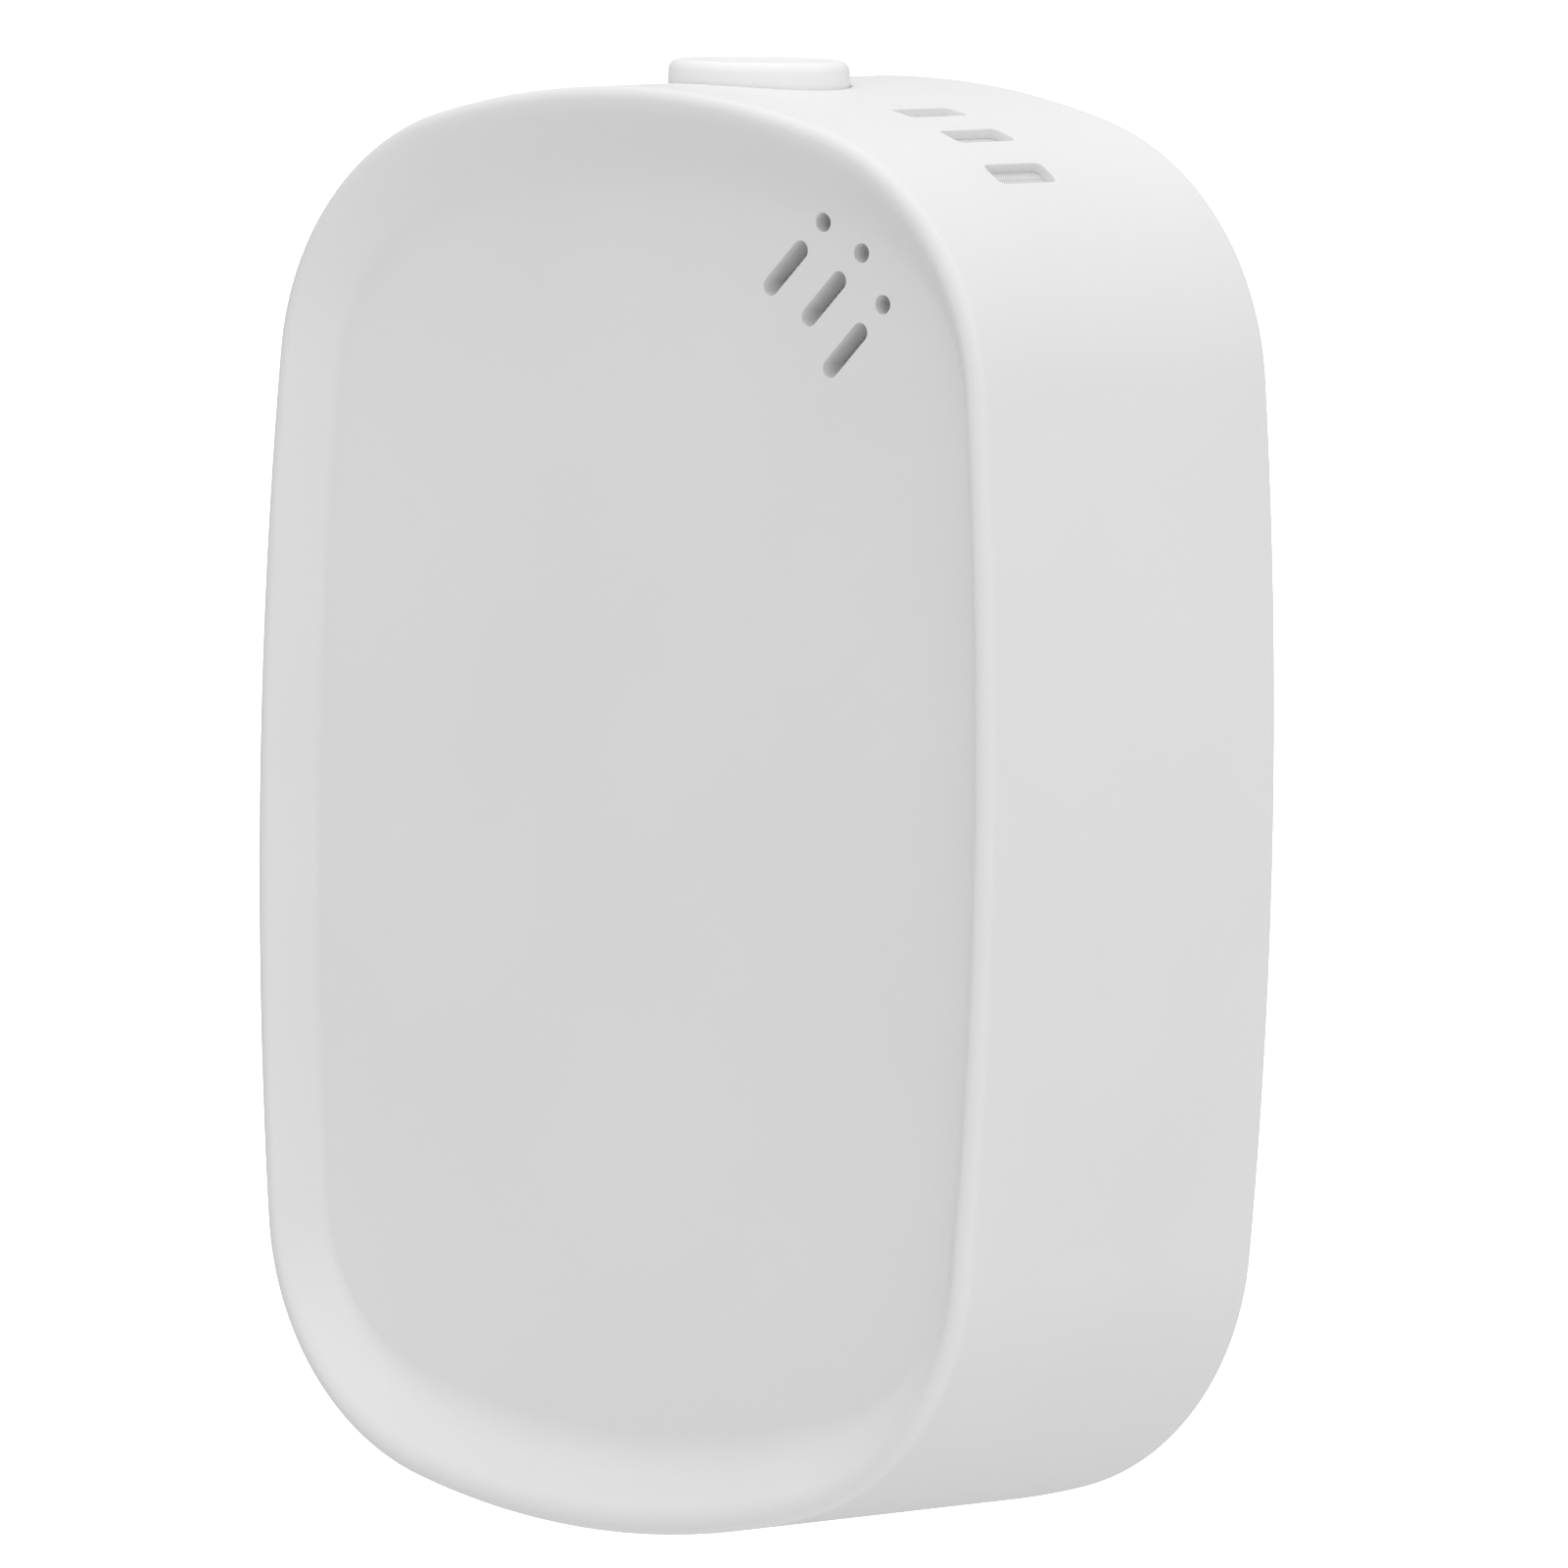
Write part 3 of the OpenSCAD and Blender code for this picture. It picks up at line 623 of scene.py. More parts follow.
def rim(skin):
    """The rim, from the side wall round to the crest."""
    rings, steps = [], 12
    for i in range(steps + 1):
        a = math.radians(90 * i / steps)
        inset, y = DRAFT + RIM_R * (1 - math.cos(a)), WALL_FRONT_Y - RIM_R * math.sin(a)
        rings.append(outline_ring(inset, y, math.degrees(a)))
    skin.loft(rings)


def dished_front(skin):
    """The front's outer and inner faces, with the slots and dots through them."""
    shapes = [front_hole(skin, shape) for shape in slot_shapes()]
    steps = 26
    depths = [DISH_D * (1 - math.cos(math.pi * i / steps)) / 2 for i in range(steps + 1)]
    fill = [p for depth in depths[1:] for p in dish_ring(depth)]
    grid, columns, rows = 3.0, 12, 16
    for i in range(-columns, columns + 1):
        for k in range(-rows, rows + 1):
            if OUTLINE.inset_of(i * grid, k * grid)[0] > CREST + SLOPE_END + 1:
                fill.append(Vector((i * grid, k * grid)))
    perforated(skin, dish_ring(0), [outer for outer, _ in shapes], fill, front_place)

    def floor_place(p):
        return Vector((p.x, INNER_Y, p.y)), Vector((0, 1, 0))

    border = [OUTLINE.point(s, CAVITY) for s in ROUND]
    perforated(skin, border, [inner for _, inner in shapes], [], floor_place)


def make_front_housing():
    """The moulded shell, with its front, side wall, holes, edges and bosses as one mesh."""
    skin = Skin()
    centres = [Vector((VENT_FIRST + i * VENT_PITCH, MID_Y - i * VENT_STEP)) for i in range(3)]
    vents = [side_vent(skin, centre) for centre in centres]
    seat = vent_seat(skin, [inner for _, inner in vents])
    bore_mouth, bore_back = button_bore(skin)
    edge_r = 0.25
    border, fill = band(WALL_FRONT_Y, REAR_Y - edge_r, 14)
    perforated(skin, border, [outer for outer, _ in vents] + [bore_mouth], fill, wall_place)
    border, fill = band(INNER_Y, COVER_IN_Y, 12)
    perforated(skin, border, [seat, bore_back], fill, inner_place)
    rear_edge(skin, edge_r)
    rim(skin)
    dished_front(skin)
    bosses(skin)
    return skin.build("front_shell")


# ---- test button ----

def make_button():
    """The cap with its shallow bowl, the flange that holds it in, and the stem that works the switch."""
    low, top = button_low.z, button_high.z
    flange_low = FLANGE_TOP - FLANGE_T
    bowl_r, bowl_d, steps = 40.0, 0.24, 16
    bowl_edge = math.sqrt(2 * bowl_r * bowl_d)
    path = fillet_path([
        (0, low, 0), (STEM_R, low, 0.3), (STEM_R, flange_low, 0.3), (FLANGE_R, flange_low, 0.2),
        (FLANGE_R, FLANGE_TOP, 0.2), (BUTTON_R, FLANGE_TOP, 0.1), (BUTTON_R, top, BUTTON_EDGE),
        (bowl_edge, top, 0)])
    for i in range(steps + 1):
        r = bowl_edge * (1 - i / steps)
        path.append((Vector((r, top - bowl_d + r * r / (2 * bowl_r))), Vector((-r / bowl_r, 1))))
    skin = Skin()
    turned(skin, Vector((0, BUTTON_AT.y, 0)), "z", path, 128)
    return skin.build("button_cap")


# ---- screws ----

def cross_loop(arm, half):
    """A cross recess's loop round the origin."""
    corners = []
    for turn in range(4):
        a = Matrix.Rotation(math.radians(90 * turn), 2)
        corners += [a @ Vector((arm, -half)), a @ Vector((arm, half)), a @ Vector((half, half))]
    return corners


def add_screw(skin, seat, head_r, head_h, shank_r, length):
    """A pan head screw with a cross recess. seat is under the head, which faces +Y."""
    pitch, root = 0.6, shank_r - 0.2
    thread = [(0, -length, 0), (root * 0.4, -length, 0)]
    turns = int((length - 1.2) / pitch)
    for i in range(turns):
        y = -length + 0.6 + i * pitch
        thread += [(root, y, 0), (shank_r, y + pitch * 0.45, 0.03), (root, y + pitch * 0.9, 0)]
    flat_r = head_r - 0.5
    head = [(root, 0, 0), (head_r, 0, 0.12), (head_r, head_h, 0.5), (flat_r, head_h, 0)]
    lathe(skin, seat, "y", thread + head, 40)
    flat = [Vector((p.y, p.x)) for p in circle_loop(Vector((0, 0)), flat_r, 40)[0]]
    cross = cross_loop(head_r * 0.6, 0.26)

    def top(p):
        return seat + Vector((p.x, head_h, p.y)), Vector((0, 1, 0))

    perforated(skin, flat, [cross], [], top)
    taper, floor_h = 0.62, head_h * 0.45
    upper = [top(p)[0] for p in cross]
    lower = [seat + Vector((p.x * taper, floor_h, p.y * taper)) for p in cross]
    for i in range(len(cross)):
        k = (i + 1) % len(cross)
        quad = [upper[i], upper[k], lower[k], lower[i]]
        n = (quad[1] - quad[0]).cross(quad[3] - quad[0]).normalized()
        middle = sum(quad, Vector((0, 0, 0))) / 4
        if n.dot(seat + Vector((0, head_h * 2, 0)) - middle) < 0:
            n = -n
        skin.face([(p, n) for p in quad])
    skin.face([(p, Vector((0, 1, 0))) for p in lower])


def make_screws(name, places, seat_y, head_r, head_h, shank_r, length):
    """A set of equal screws at places (x, z), as one mesh."""
    skin = Skin()
    for x, z in places:
        add_screw(skin, Vector((x, seat_y, z)), head_r, head_h, shank_r, length)
    return skin.build(name)


# ---- battery ----

def make_cell():
    """The wrapped can: a rolled shoulder at the positive end, and the wrap's shrunk lips at both ends."""
    low, high = box_mm("battery_cell")
    r = (high.y - low.y) / 2
    origin = Vector((0, (low.y + high.y) / 2, (low.z + high.z) / 2))
    lip_r, shoulder_r, groove_r, cap_r = r - 1.6, r - 2.2, r - 0.45, 3.3
    base_x, top_x = low.x + 0.12, high.x - 0.3
    skin = Skin()
    lathe(skin, origin, "x", [
        (lip_r, base_x, 0), (lip_r, low.x, 0.05), (r, low.x, 0.7), (r, high.x - 2.6, 0.4),
        (groove_r, high.x - 2.2, 0.4), (groove_r, high.x - 1.5, 0.4), (r, high.x - 1.1, 0.3),
        (r, high.x - 0.1, 0.8), (shoulder_r, high.x - 0.1, 0.04), (shoulder_r, top_x, 0)], 96)
    wrap = skin.build("cell_wrap")
    skin = Skin()
    lathe(skin, origin, "x", [(0, base_x, 0), (lip_r, base_x, 0), (lip_r, low.x + 0.5, 0)], 64)
    lathe(skin, origin, "x", [(shoulder_r, high.x - 0.6, 0), (shoulder_r, top_x, 0), (cap_r, top_x, 0)], 64)
    ends = skin.build("cell_ends")
    return wrap, ends


def make_positive_cap():
    """The cell's raised positive end."""
    low, high = box_mm("battery_positive_cap")
    r = (high.y - low.y) / 2
    skin = Skin()
    lathe(skin, Vector((0, (low.y + high.y) / 2, (low.z + high.z) / 2)), "x",
          [(r, low.x - 0.3, 0), (r, low.x + 0.3, 0.15), (r - 0.4, high.x, 0.35), (0, high.x, 0)], 64)
    return skin.build("cell_button")


def make_spring():
    """A conical coil with its ends closed, on the negative contact."""
    low, high = box_mm("negative_spring")
    cell_low, cell_high = box_mm("battery_cell")
    centre = Vector((0, (cell_low.y + cell_high.y) / 2, (cell_low.z + cell_high.z) / 2))
    wire_r, wide, narrow, turns, steps, sides = 0.3, 5.2, 2.8, 2.9, 260, 16
    rings = []
    for i in range(steps + 1):
        t = i / steps
        climb = min(1.0, max(0.0, (t * turns - 0.2) / (turns - 0.6)))
        x = low.x + wire_r + (high.x - low.x - 2 * wire_r) * climb
        a, r = math.tau * turns * t, wide + (narrow - wide) * t
        out = Vector((0, math.cos(a), math.sin(a)))
        ring = []
        for k in range(sides):
            b = math.tau * k / sides
            n = out * math.cos(b) + Vector((1, 0, 0)) * math.sin(b)
            ring.append((Vector((x, centre.y, centre.z)) + out * r + n * wire_r, n))
        rings.append(ring)
    skin = Skin()
    skin.loft(rings)
    for ring, way in ((rings[0], -1), (rings[-1], 1)):
        a = ring[0][1].cross(ring[sides // 4][1])
        skin.cap(ring, a * way)
    return skin.build("contact_spring")


# ---- turned parts on the board ----

def make_sensor_can():
    """The drawn can of the gas sensor with its crimped base flange."""
    low, high = box_mm("co_sensor_can")
    origin = Vector(((low.x + high.x) / 2, 0, (low.z + high.z) / 2))
    flange_r = (high.x - low.x) / 2
    r, flange_y = flange_r - 0.35, high.y - 0.8
    skin = Skin()
    lathe(skin, origin, "y", [
        (0, low.y, 0), (r, low.y, 0.5), (r, flange_y, 0.1), (flange_r, flange_y, 0.15),
        (flange_r, high.y, 0.25), (0, high.y, 0)], 96)
    return skin.build("sensor_can")


def make_capacitor():
    """The capacitor's sleeve, shrunk over the can's groove, and the bare metal top inside its lip."""
    low, high = box_mm("reservoir_capacitor")
    origin = Vector(((low.x + high.x) / 2, 0, (low.z + high.z) / 2))
    r = (high.x - low.x) / 2
    lip_r, groove_r, top_y = r - 0.75, r - 0.3, low.y + 0.08
    skin = Skin()
    lathe(skin, origin, "y", [
        (lip_r, top_y, 0), (lip_r, low.y, 0.04), (r, low.y, 0.5), (r, high.y - 1.5, 0.2),
        (groove_r, high.y - 1.2, 0.2), (groove_r, high.y - 0.9, 0.2), (r, high.y - 0.6, 0.2),
        (r, high.y, 0.1), (0, high.y, 0)], 64)
    sleeve = skin.build("capacitor_sleeve")
    skin = Skin()
    lathe(skin, origin, "y", [(0, top_y, 0), (lip_r, top_y, 0), (lip_r, low.y + 0.3, 0)], 48)
    return sleeve, skin.build("capacitor_top")


# ---- materials ----

class Paint:
    """A material under construction, with short ways to add the nodes that this file uses."""

    def __init__(self, name, colour, roughness, metallic=0.0, ior=1.5):
        self.mat = bpy.data.materials.new(name)
        self.mat.use_nodes = True
        self.nodes, self.links = self.mat.node_tree.nodes, self.mat.node_tree.links
        self.bsdf = self.nodes["Principled BSDF"]
        self.coords = self.nodes.new("ShaderNodeTexCoord").outputs["Object"]
        self.set("Base Color", (*colour, 1))
        self.set("Roughness", roughness)
        self.set("Metallic", metallic)
        self.set("IOR", ior)
        self.height = None

    def set(self, socket, value):
        """Gives one of the shader's inputs a plain value."""
        self.bsdf.inputs[socket].default_value = value

    def link(self, output, socket):
        """Feeds one of the shader's inputs from a node."""
        self.links.new(output, self.bsdf.inputs[socket])

    def noise(self, size, detail=3.0, roughness=0.5, stretch=(1, 1, 1)):
        """Noise whose blobs are about size millimetres across, before any stretch."""
        scale = self.nodes.new("ShaderNodeMapping")
        scale.inputs["Scale"].default_value = [1 / (size * MM * k) for k in stretch]
        self.links.new(self.coords, scale.inputs["Vector"])
        node = self.nodes.new("ShaderNodeTexNoise")
        node.inputs["Scale"].default_value = 1
        node.inputs["Detail"].default_value = detail
        node.inputs["Roughness"].default_value = roughness
        self.links.new(scale.outputs["Vector"], node.inputs["Vector"])
        return node.outputs["Fac"]

    def cells(self, size):
        """Distance to the nearest of scattered points, about size millimetres apart."""
        node = self.nodes.new("ShaderNodeTexVoronoi")
        node.inputs["Scale"].default_value = 1 / (size * MM)
        self.links.new(self.coords, node.inputs["Vector"])
        return node.outputs["Distance"]

    def span(self, value, low, high, start=0.3, end=0.7):
        """Maps a value from the start..end range to low..high, and clamps it."""
        node = self.nodes.new("ShaderNodeMapRange")
        for socket, number in (("From Min", start), ("From Max", end), ("To Min", low), ("To Max", high)):
            node.inputs[socket].default_value = number
        self.links.new(value, node.inputs["Value"])
        return node.outputs["Result"]

    def mix(self, factor, a, b):
        """A colour between a and b. Each is a plain colour or a node's output."""
        node = self.nodes.new("ShaderNodeMix")
        node.data_type = "RGBA"
        self.links.new(factor, node.inputs["Factor"])
        for socket, colour in (("A", a), ("B", b)):
            if isinstance(colour, tuple):
                node.inputs[socket].default_value = (*colour, 1)
            else:
                self.links.new(colour, node.inputs[socket])
        return node.outputs["Result"]

    def math(self, operation, a, b=0):
        """One step of arithmetic. Each value is a number or a node's output."""
        node = self.nodes.new("ShaderNodeMath")
        node.operation = operation
        for socket, value in zip(node.inputs, (a, b)):
            if isinstance(value, (int, float)):
                socket.default_value = value
            else:
                self.links.new(value, socket)
        return node.outputs[0]

    def split(self, vector):
        """The three components of a vector."""
        node = self.nodes.new("ShaderNodeSeparateXYZ")
        self.links.new(vector, node.inputs[0])
        return node.outputs

    def bump(self, height, depth, strength=0.4):
        """Stacks a relief of the given depth in millimetres on those already there."""
        node = self.nodes.new("ShaderNodeBump")
        node.inputs["Strength"].default_value = strength
        node.inputs["Distance"].default_value = depth * MM
        self.links.new(height, node.inputs["Height"])
        if self.height:
            self.links.new(self.height, node.inputs["Normal"])
        self.height = node.outputs["Normal"]
        self.link(self.height, "Normal")


def tint(colour, k):
    """A colour made darker or lighter."""
    return tuple(min(1.0, c * k) for c in colour)


def moulded(name, colour, roughness, grain=0.12, depth=0.02, cloud=0.012, soft=0.0):
    """Moulded plastic with a fine spark texture, faint flow clouds and uneven gloss."""
    paint = Paint(name, colour, roughness)
    clouds = paint.span(paint.noise(16, 4), 0, 1)
    paint.link(paint.mix(clouds, tint(colour, 1 - cloud), tint(colour, 1 + cloud)), "Base Color")
    paint.link(paint.span(paint.noise(1.1), roughness - 0.04, roughness + 0.05), "Roughness")
    paint.bump(paint.noise(grain, 2), depth, 0.35)
    paint.set("Specular IOR Level", 0.4)
    if soft:
        paint.set("Subsurface Weight", soft)
        paint.set("Subsurface Radius", (0.0012, 0.0011, 0.001))
        paint.set("Subsurface Scale", 1.0)
    return paint.mat


def woven(name, colour, pitch):
    """A fine woven screen: two crossed sets of threads, with the openings between them darkened by painted
    shade.
    """
    paint = Paint(name, colour, 0.75)
    x, y, z = paint.split(paint.coords)
    turn = math.tau / (pitch * MM)
    warp = paint.math("SINE", paint.math("MULTIPLY", paint.math("ADD", x, y), turn))
    weft = paint.math("SINE", paint.math("MULTIPLY", paint.math("SUBTRACT", z, y), turn))
    threads = paint.math("MAXIMUM", warp, weft)
    # The openings are painted at seven tenths of the threads' colour: painted shade for the dark space
    # behind the screen.
    paint.link(paint.mix(paint.span(threads, 0, 1, -0.2, 0.8), tint(colour, 0.7), colour), "Base Color")
    paint.bump(threads, 0.05)
    return paint.mat


def metal(name, colour, roughness, stretch=(1, 1, 1), grain=0.25, stain=0.04):
    """Plated sheet or wire, with drawn or rolled grain along the stretched axis."""
    paint = Paint(name, colour, roughness, 1.0)
    patches = paint.span(paint.noise(5, 4), 0, 1)
    paint.link(paint.mix(patches, tint(colour, 1 - stain), tint(colour, 1 + stain)), "Base Color")
    lines = paint.noise(grain, 4, 0.6, stretch)
    paint.link(paint.span(lines, roughness - 0.06, roughness + 0.1), "Roughness")
    paint.bump(lines, 0.01, 0.25)
    return paint.mat


def circuit_board(name, mask, trace):
    """Solder mask over copper: lighter tracks and tinned pads on the faces, bare fibre at the edges."""
    paint = Paint(name, mask, 0.32)
    bricks = paint.nodes.new("ShaderNodeTexBrick")
    mapping = paint.nodes.new("ShaderNodeMapping")
    mapping.inputs["Rotation"].default_value = (math.radians(90), 0, 0)
    paint.links.new(paint.coords, mapping.inputs["Vector"])
    paint.links.new(mapping.outputs["Vector"], bricks.inputs["Vector"])
    layout = {"Scale": 1 / (4.6 * MM), "Mortar Size": 0.05, "Brick Width": 0.9, "Row Height": 0.36}
    for socket, value in layout.items():
        bricks.inputs[socket].default_value = value
    tracks = paint.mix(bricks.outputs["Fac"], mask, trace)
    pads = paint.span(paint.cells(2.9), 1, 0, 0.1, 0.12)
    faces = paint.mix(pads, tracks, (0.75, 0.74, 0.7))
    normal = paint.split(paint.nodes.new("ShaderNodeNewGeometry").outputs["True Normal"])
    is_edge = paint.span(paint.math("ABSOLUTE", normal[1]), 1, 0, 0.4, 0.6)
    paint.link(paint.mix(is_edge, faces, (0.56, 0.52, 0.33)), "Base Color")
    paint.link(pads, "Metallic")
    paint.bump(bricks.outputs["Fac"], 0.03, 0.3)
    paint.bump(paint.noise(0.4), 0.01, 0.2)
    return paint.mat


def speckled(name, colour, roughness, size, contrast, depth=0.02):
    """Pressed or sintered powder, and moulded resin."""
    paint = Paint(name, colour, roughness)
    grains = paint.noise(size, 4, 0.7)
    dark, light = tint(colour, 1 - contrast), tint(colour, 1 + contrast)
    paint.link(paint.mix(paint.span(grains, 0, 1), dark, light), "Base Color")
    paint.bump(grains, depth)
    return paint.mat


def film(name, colour):
    """Satin label film with faint fibres of its paper backing showing through."""
    paint = Paint(name, colour, 0.36)
    fibres = paint.noise(0.5, 5, 0.7, (5, 1, 1))
    paint.link(paint.mix(paint.span(fibres, 0, 1), tint(colour, 0.97), tint(colour, 1.02)), "Base Color")
    paint.bump(paint.noise(3.5), 0.02, 0.15)
    return paint.mat


def foam(name, colour):
    """Open foam, its pores darkened with painted shade."""
    paint = Paint(name, colour, 0.9)
    pores = paint.cells(0.35)
    # The pores are painted darker than the cell walls between them: painted shade in the hollows.
    dark, light = tint(colour, 0.5), tint(colour, 1.6)
    paint.link(paint.mix(paint.span(pores, 0, 1, 0.1, 0.6), dark, light), "Base Color")
    paint.bump(pores, 0.12, 0.8)
    return paint.mat


def clear(name, colour, roughness, through):
    """Clear or cloudy resin that passes a share of the light."""
    paint = Paint(name, colour, roughness, ior=1.49)
    paint.set("Transmission Weight", through)
    paint.bump(paint.noise(2), 0.01, 0.15)
    return paint.mat


def cell_wrap(name, colour, band_colour):
    """Shrink wrap in one colour, with a plain band round the positive end."""
    paint = Paint(name, colour, 0.24)
    along = paint.split(paint.coords)[0]
    banded = paint.span(along, 0, 1, 9.4 * MM, 9.5 * MM)
    paint.link(paint.mix(banded, colour, band_colour), "Base Color")
    paint.set("Coat Weight", 0.4)
    paint.set("Coat Roughness", 0.1)
    paint.bump(paint.noise(2.5, 2, 0.4, (4, 1, 1)), 0.03, 0.2)
    return paint.mat


WHITE = (0.87, 0.87, 0.87)
MATERIALS = {
    "housing_plastic": moulded("housing_plastic", WHITE, 0.48, soft=0.12),
    # The button's white is set lighter than the housing's white plastic: painted light, for the light from
    # above and the front that brightens its side.
    "button_plastic": moulded("button_plastic", (0.95, 0.95, 0.95), 0.45, soft=0.12),
    "cover_plastic": moulded("cover_plastic", (0.86, 0.86, 0.855), 0.55, grain=0.2, depth=0.035, soft=0.1),
    "bracket_plastic": moulded("bracket_plastic", (0.84, 0.84, 0.83), 0.6, grain=0.25, depth=0.04,
                               soft=0.1),
    "black_plastic": moulded("black_plastic", (0.025, 0.025, 0.028), 0.5, cloud=0.1),
    "orange_plastic": moulded("orange_plastic", (0.8, 0.26, 0.04), 0.35, cloud=0.04),
    # The screen behind the front slots: its grey is partly its own colour and partly painted shade, setting
    # how dark the slots look.
    "grey_screen": woven("grey_screen", (0.55, 0.55, 0.56), 0.3),
    # The screen behind the side vents: its pale grey is partly its own colour and partly painted shade, a
    # little darker than the housing so the inside of the vents looks shaded.
    "pale_screen": woven("pale_screen", (0.82, 0.82, 0.82), 0.2),
    "filter_fabric": speckled("filter_fabric", (0.85, 0.85, 0.83), 0.8, 0.15, 0.08, 0.04),
    "label_film": film("label_film", (0.8, 0.81, 0.82)),
    "screw_steel": metal("screw_steel", (0.6, 0.6, 0.63), 0.32, grain=0.15),
    "spring_steel": metal("spring_steel", (0.72, 0.71, 0.7), 0.2, (1, 1, 6)),
    "plated_steel": metal("plated_steel", (0.74, 0.73, 0.71), 0.22, (6, 1, 1)),
    "tinned_metal": metal("tinned_metal", (0.76, 0.76, 0.74), 0.34, grain=0.4),
    "shield_tin": metal("shield_tin", (0.7, 0.7, 0.7), 0.3, (8, 1, 1), 0.2),
    "gold_plate": metal("gold_plate", (0.83, 0.63, 0.28), 0.2),
    "piezo_brass": metal("piezo_brass", (0.74, 0.56, 0.25), 0.3, (1, 1, 8), 0.2),
    "circuit_board": circuit_board("circuit_board", (0.008, 0.09, 0.035), (0.02, 0.19, 0.07)),
    "module_board": circuit_board("module_board", (0.008, 0.03, 0.14), (0.02, 0.07, 0.26)),
    "chip_resin": speckled("chip_resin", (0.022, 0.022, 0.023), 0.55, 0.12, 0.25),
    "ferrite": speckled("ferrite", (0.06, 0.06, 0.062), 0.7, 0.18, 0.4, 0.04),
    "ceramic_parts": speckled("ceramic_parts", (0.5, 0.33, 0.19), 0.45, 0.1, 0.1),
    "capacitor_sleeve": moulded("capacitor_sleeve", (0.02, 0.022, 0.045), 0.25, grain=0.5, cloud=0.08),
    "black_foam": foam("black_foam", (0.03, 0.03, 0.03)),
    "led_resin": clear("led_resin", (0.9, 0.9, 0.82), 0.25, 0.3),
    "clear_plastic": clear("clear_plastic", (0.93, 0.96, 0.97), 0.06, 0.95),
    "cell_wrap": cell_wrap("cell_wrap", (0.03, 0.09, 0.3), (0.72, 0.73, 0.75)),
}


# ---- pieces in place ----

def place(piece, body, slot, *replaced):
    """Puts a new piece on its body, in a slot's material, in the place of CAD nodes."""
    piece.data.materials.append(MATERIALS[slot])
    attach(piece, body)
    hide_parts(*replaced)


place(make_front_housing(), "housing", "housing_plastic", "front_housing")
place(make_button(), "test_button", "button_plastic", "test_button")
case_screws = make_screws("case_screws", BODY_SCREWS, seat_y=BODY_SCREW_Y + 1.4,
                          head_r=1.9, head_h=1.5, shank_r=0.9, length=9)
place(case_screws, "housing", "screw_steel", "housing_screws")
board_fixings = make_screws("board_fixings", BOARD_SCREWS, seat_y=box_mm("main_circuit_board")[1].y,
                            head_r=1.5, head_h=1, shank_r=0.7, length=6)
place(board_fixings, "housing", "screw_steel", "board_screws")
wrap, ends = make_cell()
place(wrap, "housing", "cell_wrap", "battery_cell")
place(ends, "housing", "plated_steel", "battery_cell")
place(make_positive_cap(), "housing", "plated_steel", "battery_positive_cap")
place(make_spring(), "housing", "spring_steel", "negative_spring")
place(make_sensor_can(), "housing", "plated_steel", "co_sensor_can")
sleeve, vent_top = make_capacitor()
place(sleeve, "housing", "capacitor_sleeve", "reservoir_capacitor")
place(vent_top, "housing", "tinned_metal", "reservoir_capacitor")

# Edge radius, in millimetres, that each CAD node shown as it is gets.
EDGES = {
    "wall_bracket": 0.25, "back_cover": 0.2, "battery_door": 0.2, "rating_label": 0.03,
    "front_dust_screen": 0.05, "top_dust_screen": 0.05, "switch_case": 0.12, "switch_plunger": 0.1,
    "switch_terminals": 0.04, "main_circuit_board": 0.05, "co_sensor_cap": 0.15, "co_sensor_filter": 0.08,
    "co_sensor_pins": 0.08, "sensor_washer": 0.1, "buzzer_case": 0.25, "buzzer_piezo_disc": 0.03,
    "buzzer_pins": 0.06, "status_led": 0.12, "light_pipe": 0.08, "microcontroller": 0.06,
    "radio_board": 0.04, "radio_shield": 0.12, "sensor_amplifier": 0.08, "quartz_crystal": 0.12,
    "power_inductor": 0.15, "surface_mount_parts": 0.05, "positive_contact": 0.06,
    "negative_contact": 0.06, "door_foam_pad": 0.1,
}


def finish_node(name, slot):
    """A CAD node shown as it is: its slot's material, merged flats and softened edges."""
    obj = NODES[name]
    obj.data.materials.clear()
    obj.data.materials.append(MATERIALS[slot])
    if name not in EDGES:
        return
    flats = obj.modifiers.new("flats", "DECIMATE")
    flats.decimate_type = "DISSOLVE"
    flats.angle_limit = math.radians(0.5)
    edges = obj.modifiers.new("edges", "BEVEL")
    edges.width = EDGES[name] * MM
    edges.segments = 3
    edges.limit_method = "ANGLE"
    edges.angle_limit = math.radians(35)
    edges.use_clamp_overlap = False
    edges.harden_normals = True


for part in frame["record"]["subparts"]:
    if not NODES[part["node"]].hide_render:
        finish_node(part["node"], part["material_slot"])


# ---- camera, floor and light ----

def set_camera():
    """A long lens to the front right, a little above, turned slightly on its axis."""
    yaw, pitch, roll = 0.69713, 0.07777, 0.016116
    distance = 1221.7
    target = Vector((0, MID_Y, 0))
    back = Vector((math.sin(yaw) * math.cos(pitch), -math.cos(yaw) * math.cos(pitch), math.sin(pitch)))
    right = Vector((math.cos(yaw), math.sin(yaw), 0))
    up = back.cross(right)
    turned_right = right * math.cos(roll) + up * math.sin(roll)
    turned_up = up * math.cos(roll) - right * math.sin(roll)
    data = bpy.data.cameras.new("camera")
    data.lens = 446.04
    data.sensor_width = 36
    data.shift_x, data.shift_y = 0.0149, 0.0106
    data.clip_start, data.clip_end = 0.05, 100
    camera = bpy.data.objects.new("camera", data)
    bpy.context.scene.collection.objects.link(camera)
    axes = Matrix((turned_right, turned_up, back)).transposed()
    camera.matrix_world = Matrix.Translation((target + back * distance) * MM) @ axes.to_4x4()
    bpy.context.scene.camera = camera


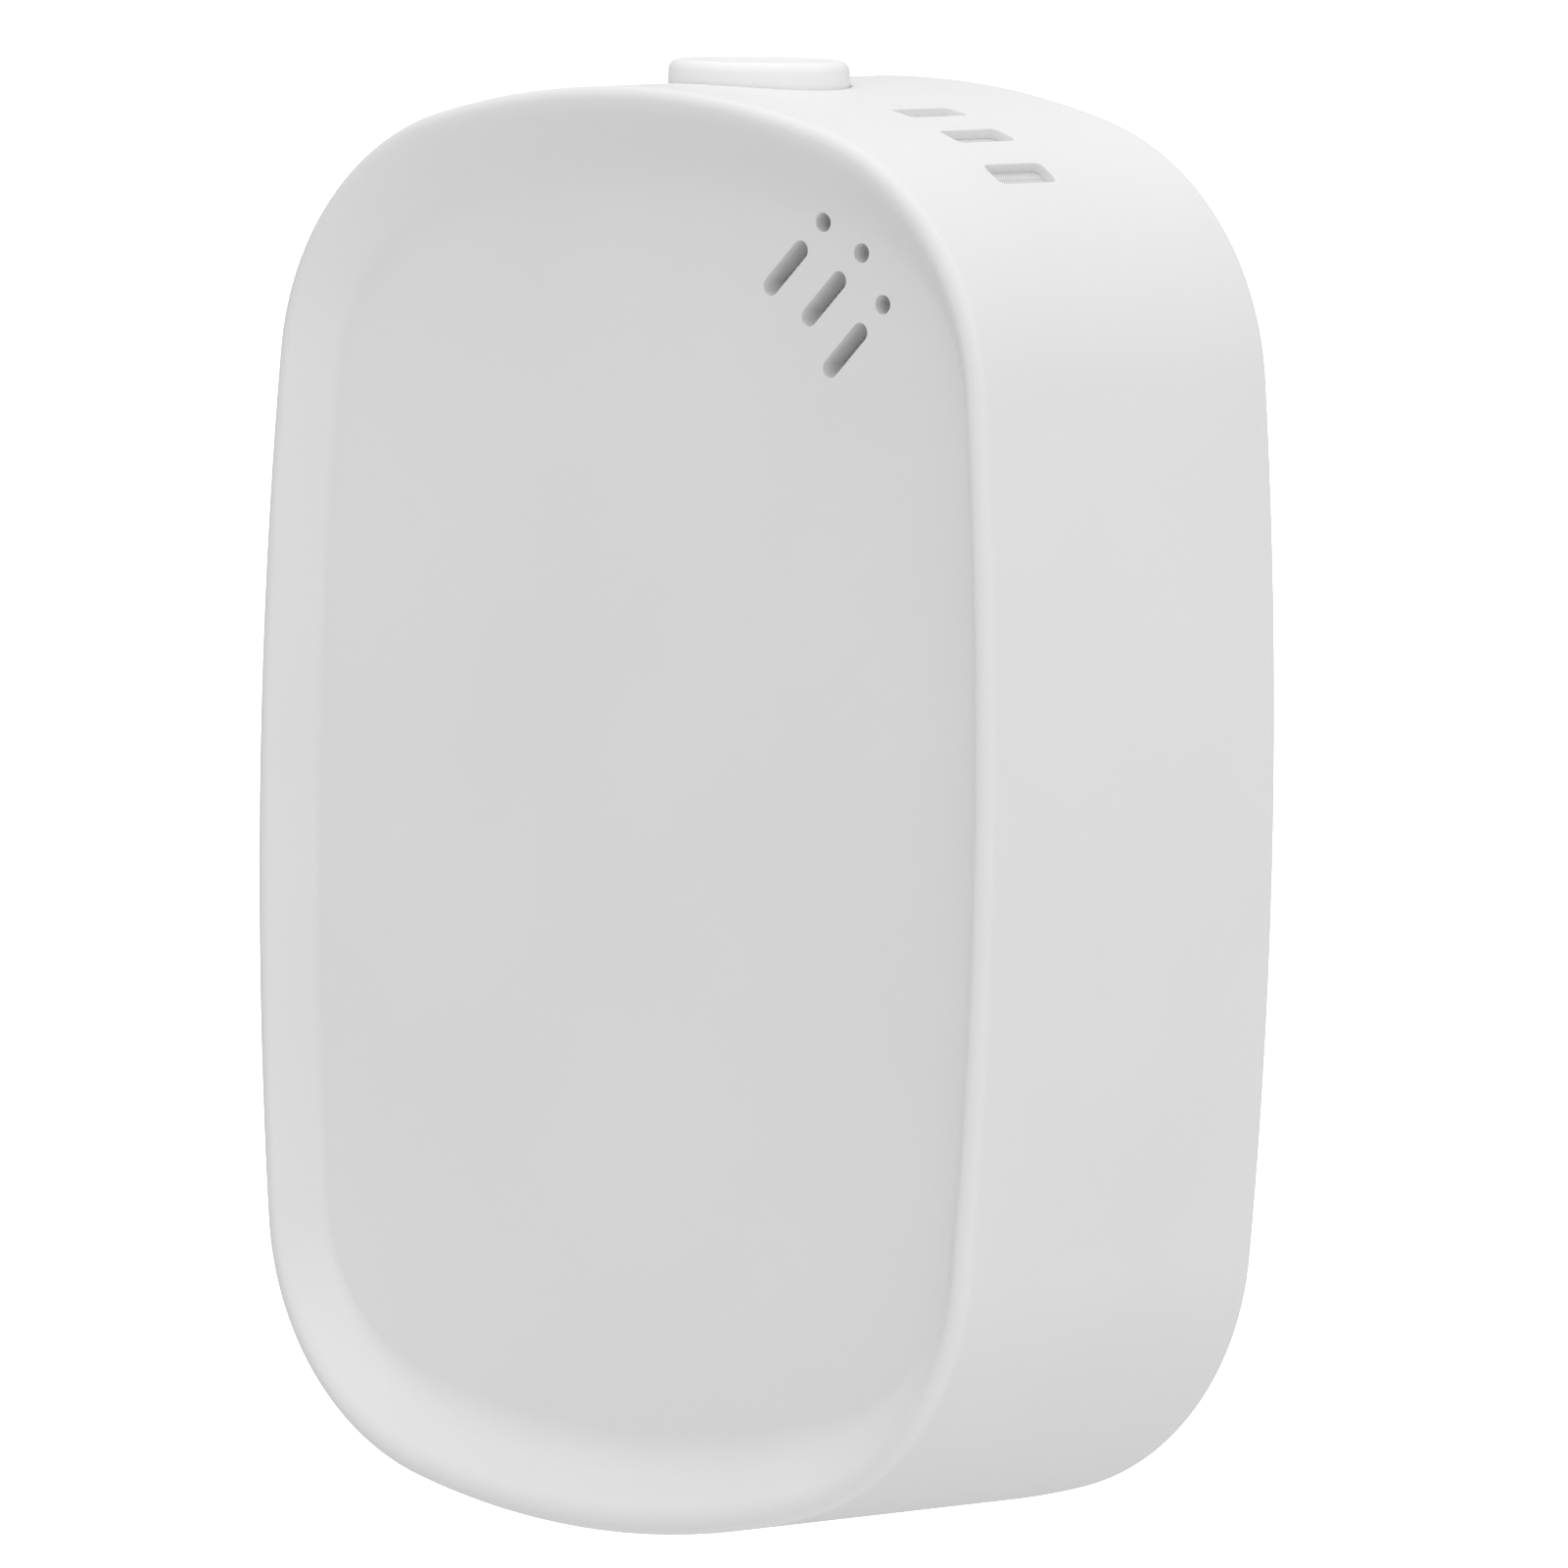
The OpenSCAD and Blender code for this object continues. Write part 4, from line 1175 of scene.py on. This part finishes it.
def set_floor():
    """A white floor well below the part. It doesn't shade or tint the part, and is clear from below."""
    size, level = 15.0, -0.25
    mesh = bpy.data.meshes.new("floor")
    corners = [(-size, -size, level), (size, -size, level), (size, size, level), (-size, size, level)]
    mesh.from_pydata(corners, [], [(0, 1, 2, 3)])
    floor = bpy.data.objects.new("floor", mesh)
    bpy.context.scene.collection.objects.link(floor)
    paint = Paint("pale_floor", (0.9, 0.9, 0.9), 0.9)
    paint.set("Emission Color", (1, 1, 1, 1))
    paint.set("Emission Strength", 0.9)
    mix = paint.nodes.new("ShaderNodeMixShader")
    paint.links.new(paint.nodes.new("ShaderNodeNewGeometry").outputs["Backfacing"], mix.inputs[0])
    paint.links.new(paint.bsdf.outputs[0], mix.inputs[1])
    paint.links.new(paint.nodes.new("ShaderNodeBsdfTransparent").outputs[0], mix.inputs[2])
    paint.links.new(mix.outputs[0], paint.nodes["Material Output"].inputs["Surface"])
    floor.data.materials.append(paint.mat)
    floor.visible_diffuse = False
    floor.visible_glossy = False
    floor.visible_shadow = False


def set_world():
    """A pale dome: an even part, and a lobe towards each direction that the studio is brighter in.

    The camera itself sees plain white.
    """
    even = 0.02
    lobes = [
        ((0, 0, 1), 1.25), ((0, 0, -1), 0.75), ((1, 0, 0), 0.49), ((-1, 0, 0), 0.125), ((0, -1, 0), 0.275)]
    world = bpy.data.worlds.new("studio")
    world.use_nodes = True
    bpy.context.scene.world = world
    nodes, links = world.node_tree.nodes, world.node_tree.links
    background = nodes["Background"]
    background.inputs["Color"].default_value = (1, 1, 1, 1)
    direction = nodes.new("ShaderNodeTexCoord").outputs["Generated"]
    total = None
    for axis, strength in lobes:
        dot = nodes.new("ShaderNodeVectorMath")
        dot.operation = "DOT_PRODUCT"
        dot.inputs[1].default_value = axis
        links.new(direction, dot.inputs[0])
        lobe = nodes.new("ShaderNodeMath")
        lobe.operation = "MAXIMUM"
        lobe.inputs[1].default_value = 0
        links.new(dot.outputs["Value"], lobe.inputs[0])
        add = nodes.new("ShaderNodeMath")
        add.operation = "MULTIPLY_ADD"
        add.inputs[1].default_value = strength
        add.inputs[2].default_value = even
        links.new(lobe.outputs[0], add.inputs[0])
        if total:
            links.new(total, add.inputs[2])
        total = add.outputs[0]
    seen = nodes.new("ShaderNodeMix")
    seen.inputs["B"].default_value = 1.0
    links.new(nodes.new("ShaderNodeLightPath").outputs["Is Camera Ray"], seen.inputs["Factor"])
    links.new(total, seen.inputs["A"])
    links.new(seen.outputs["Result"], background.inputs["Strength"])


set_camera()
set_floor()
set_world()
bpy.context.scene.view_settings.view_transform = "Standard"
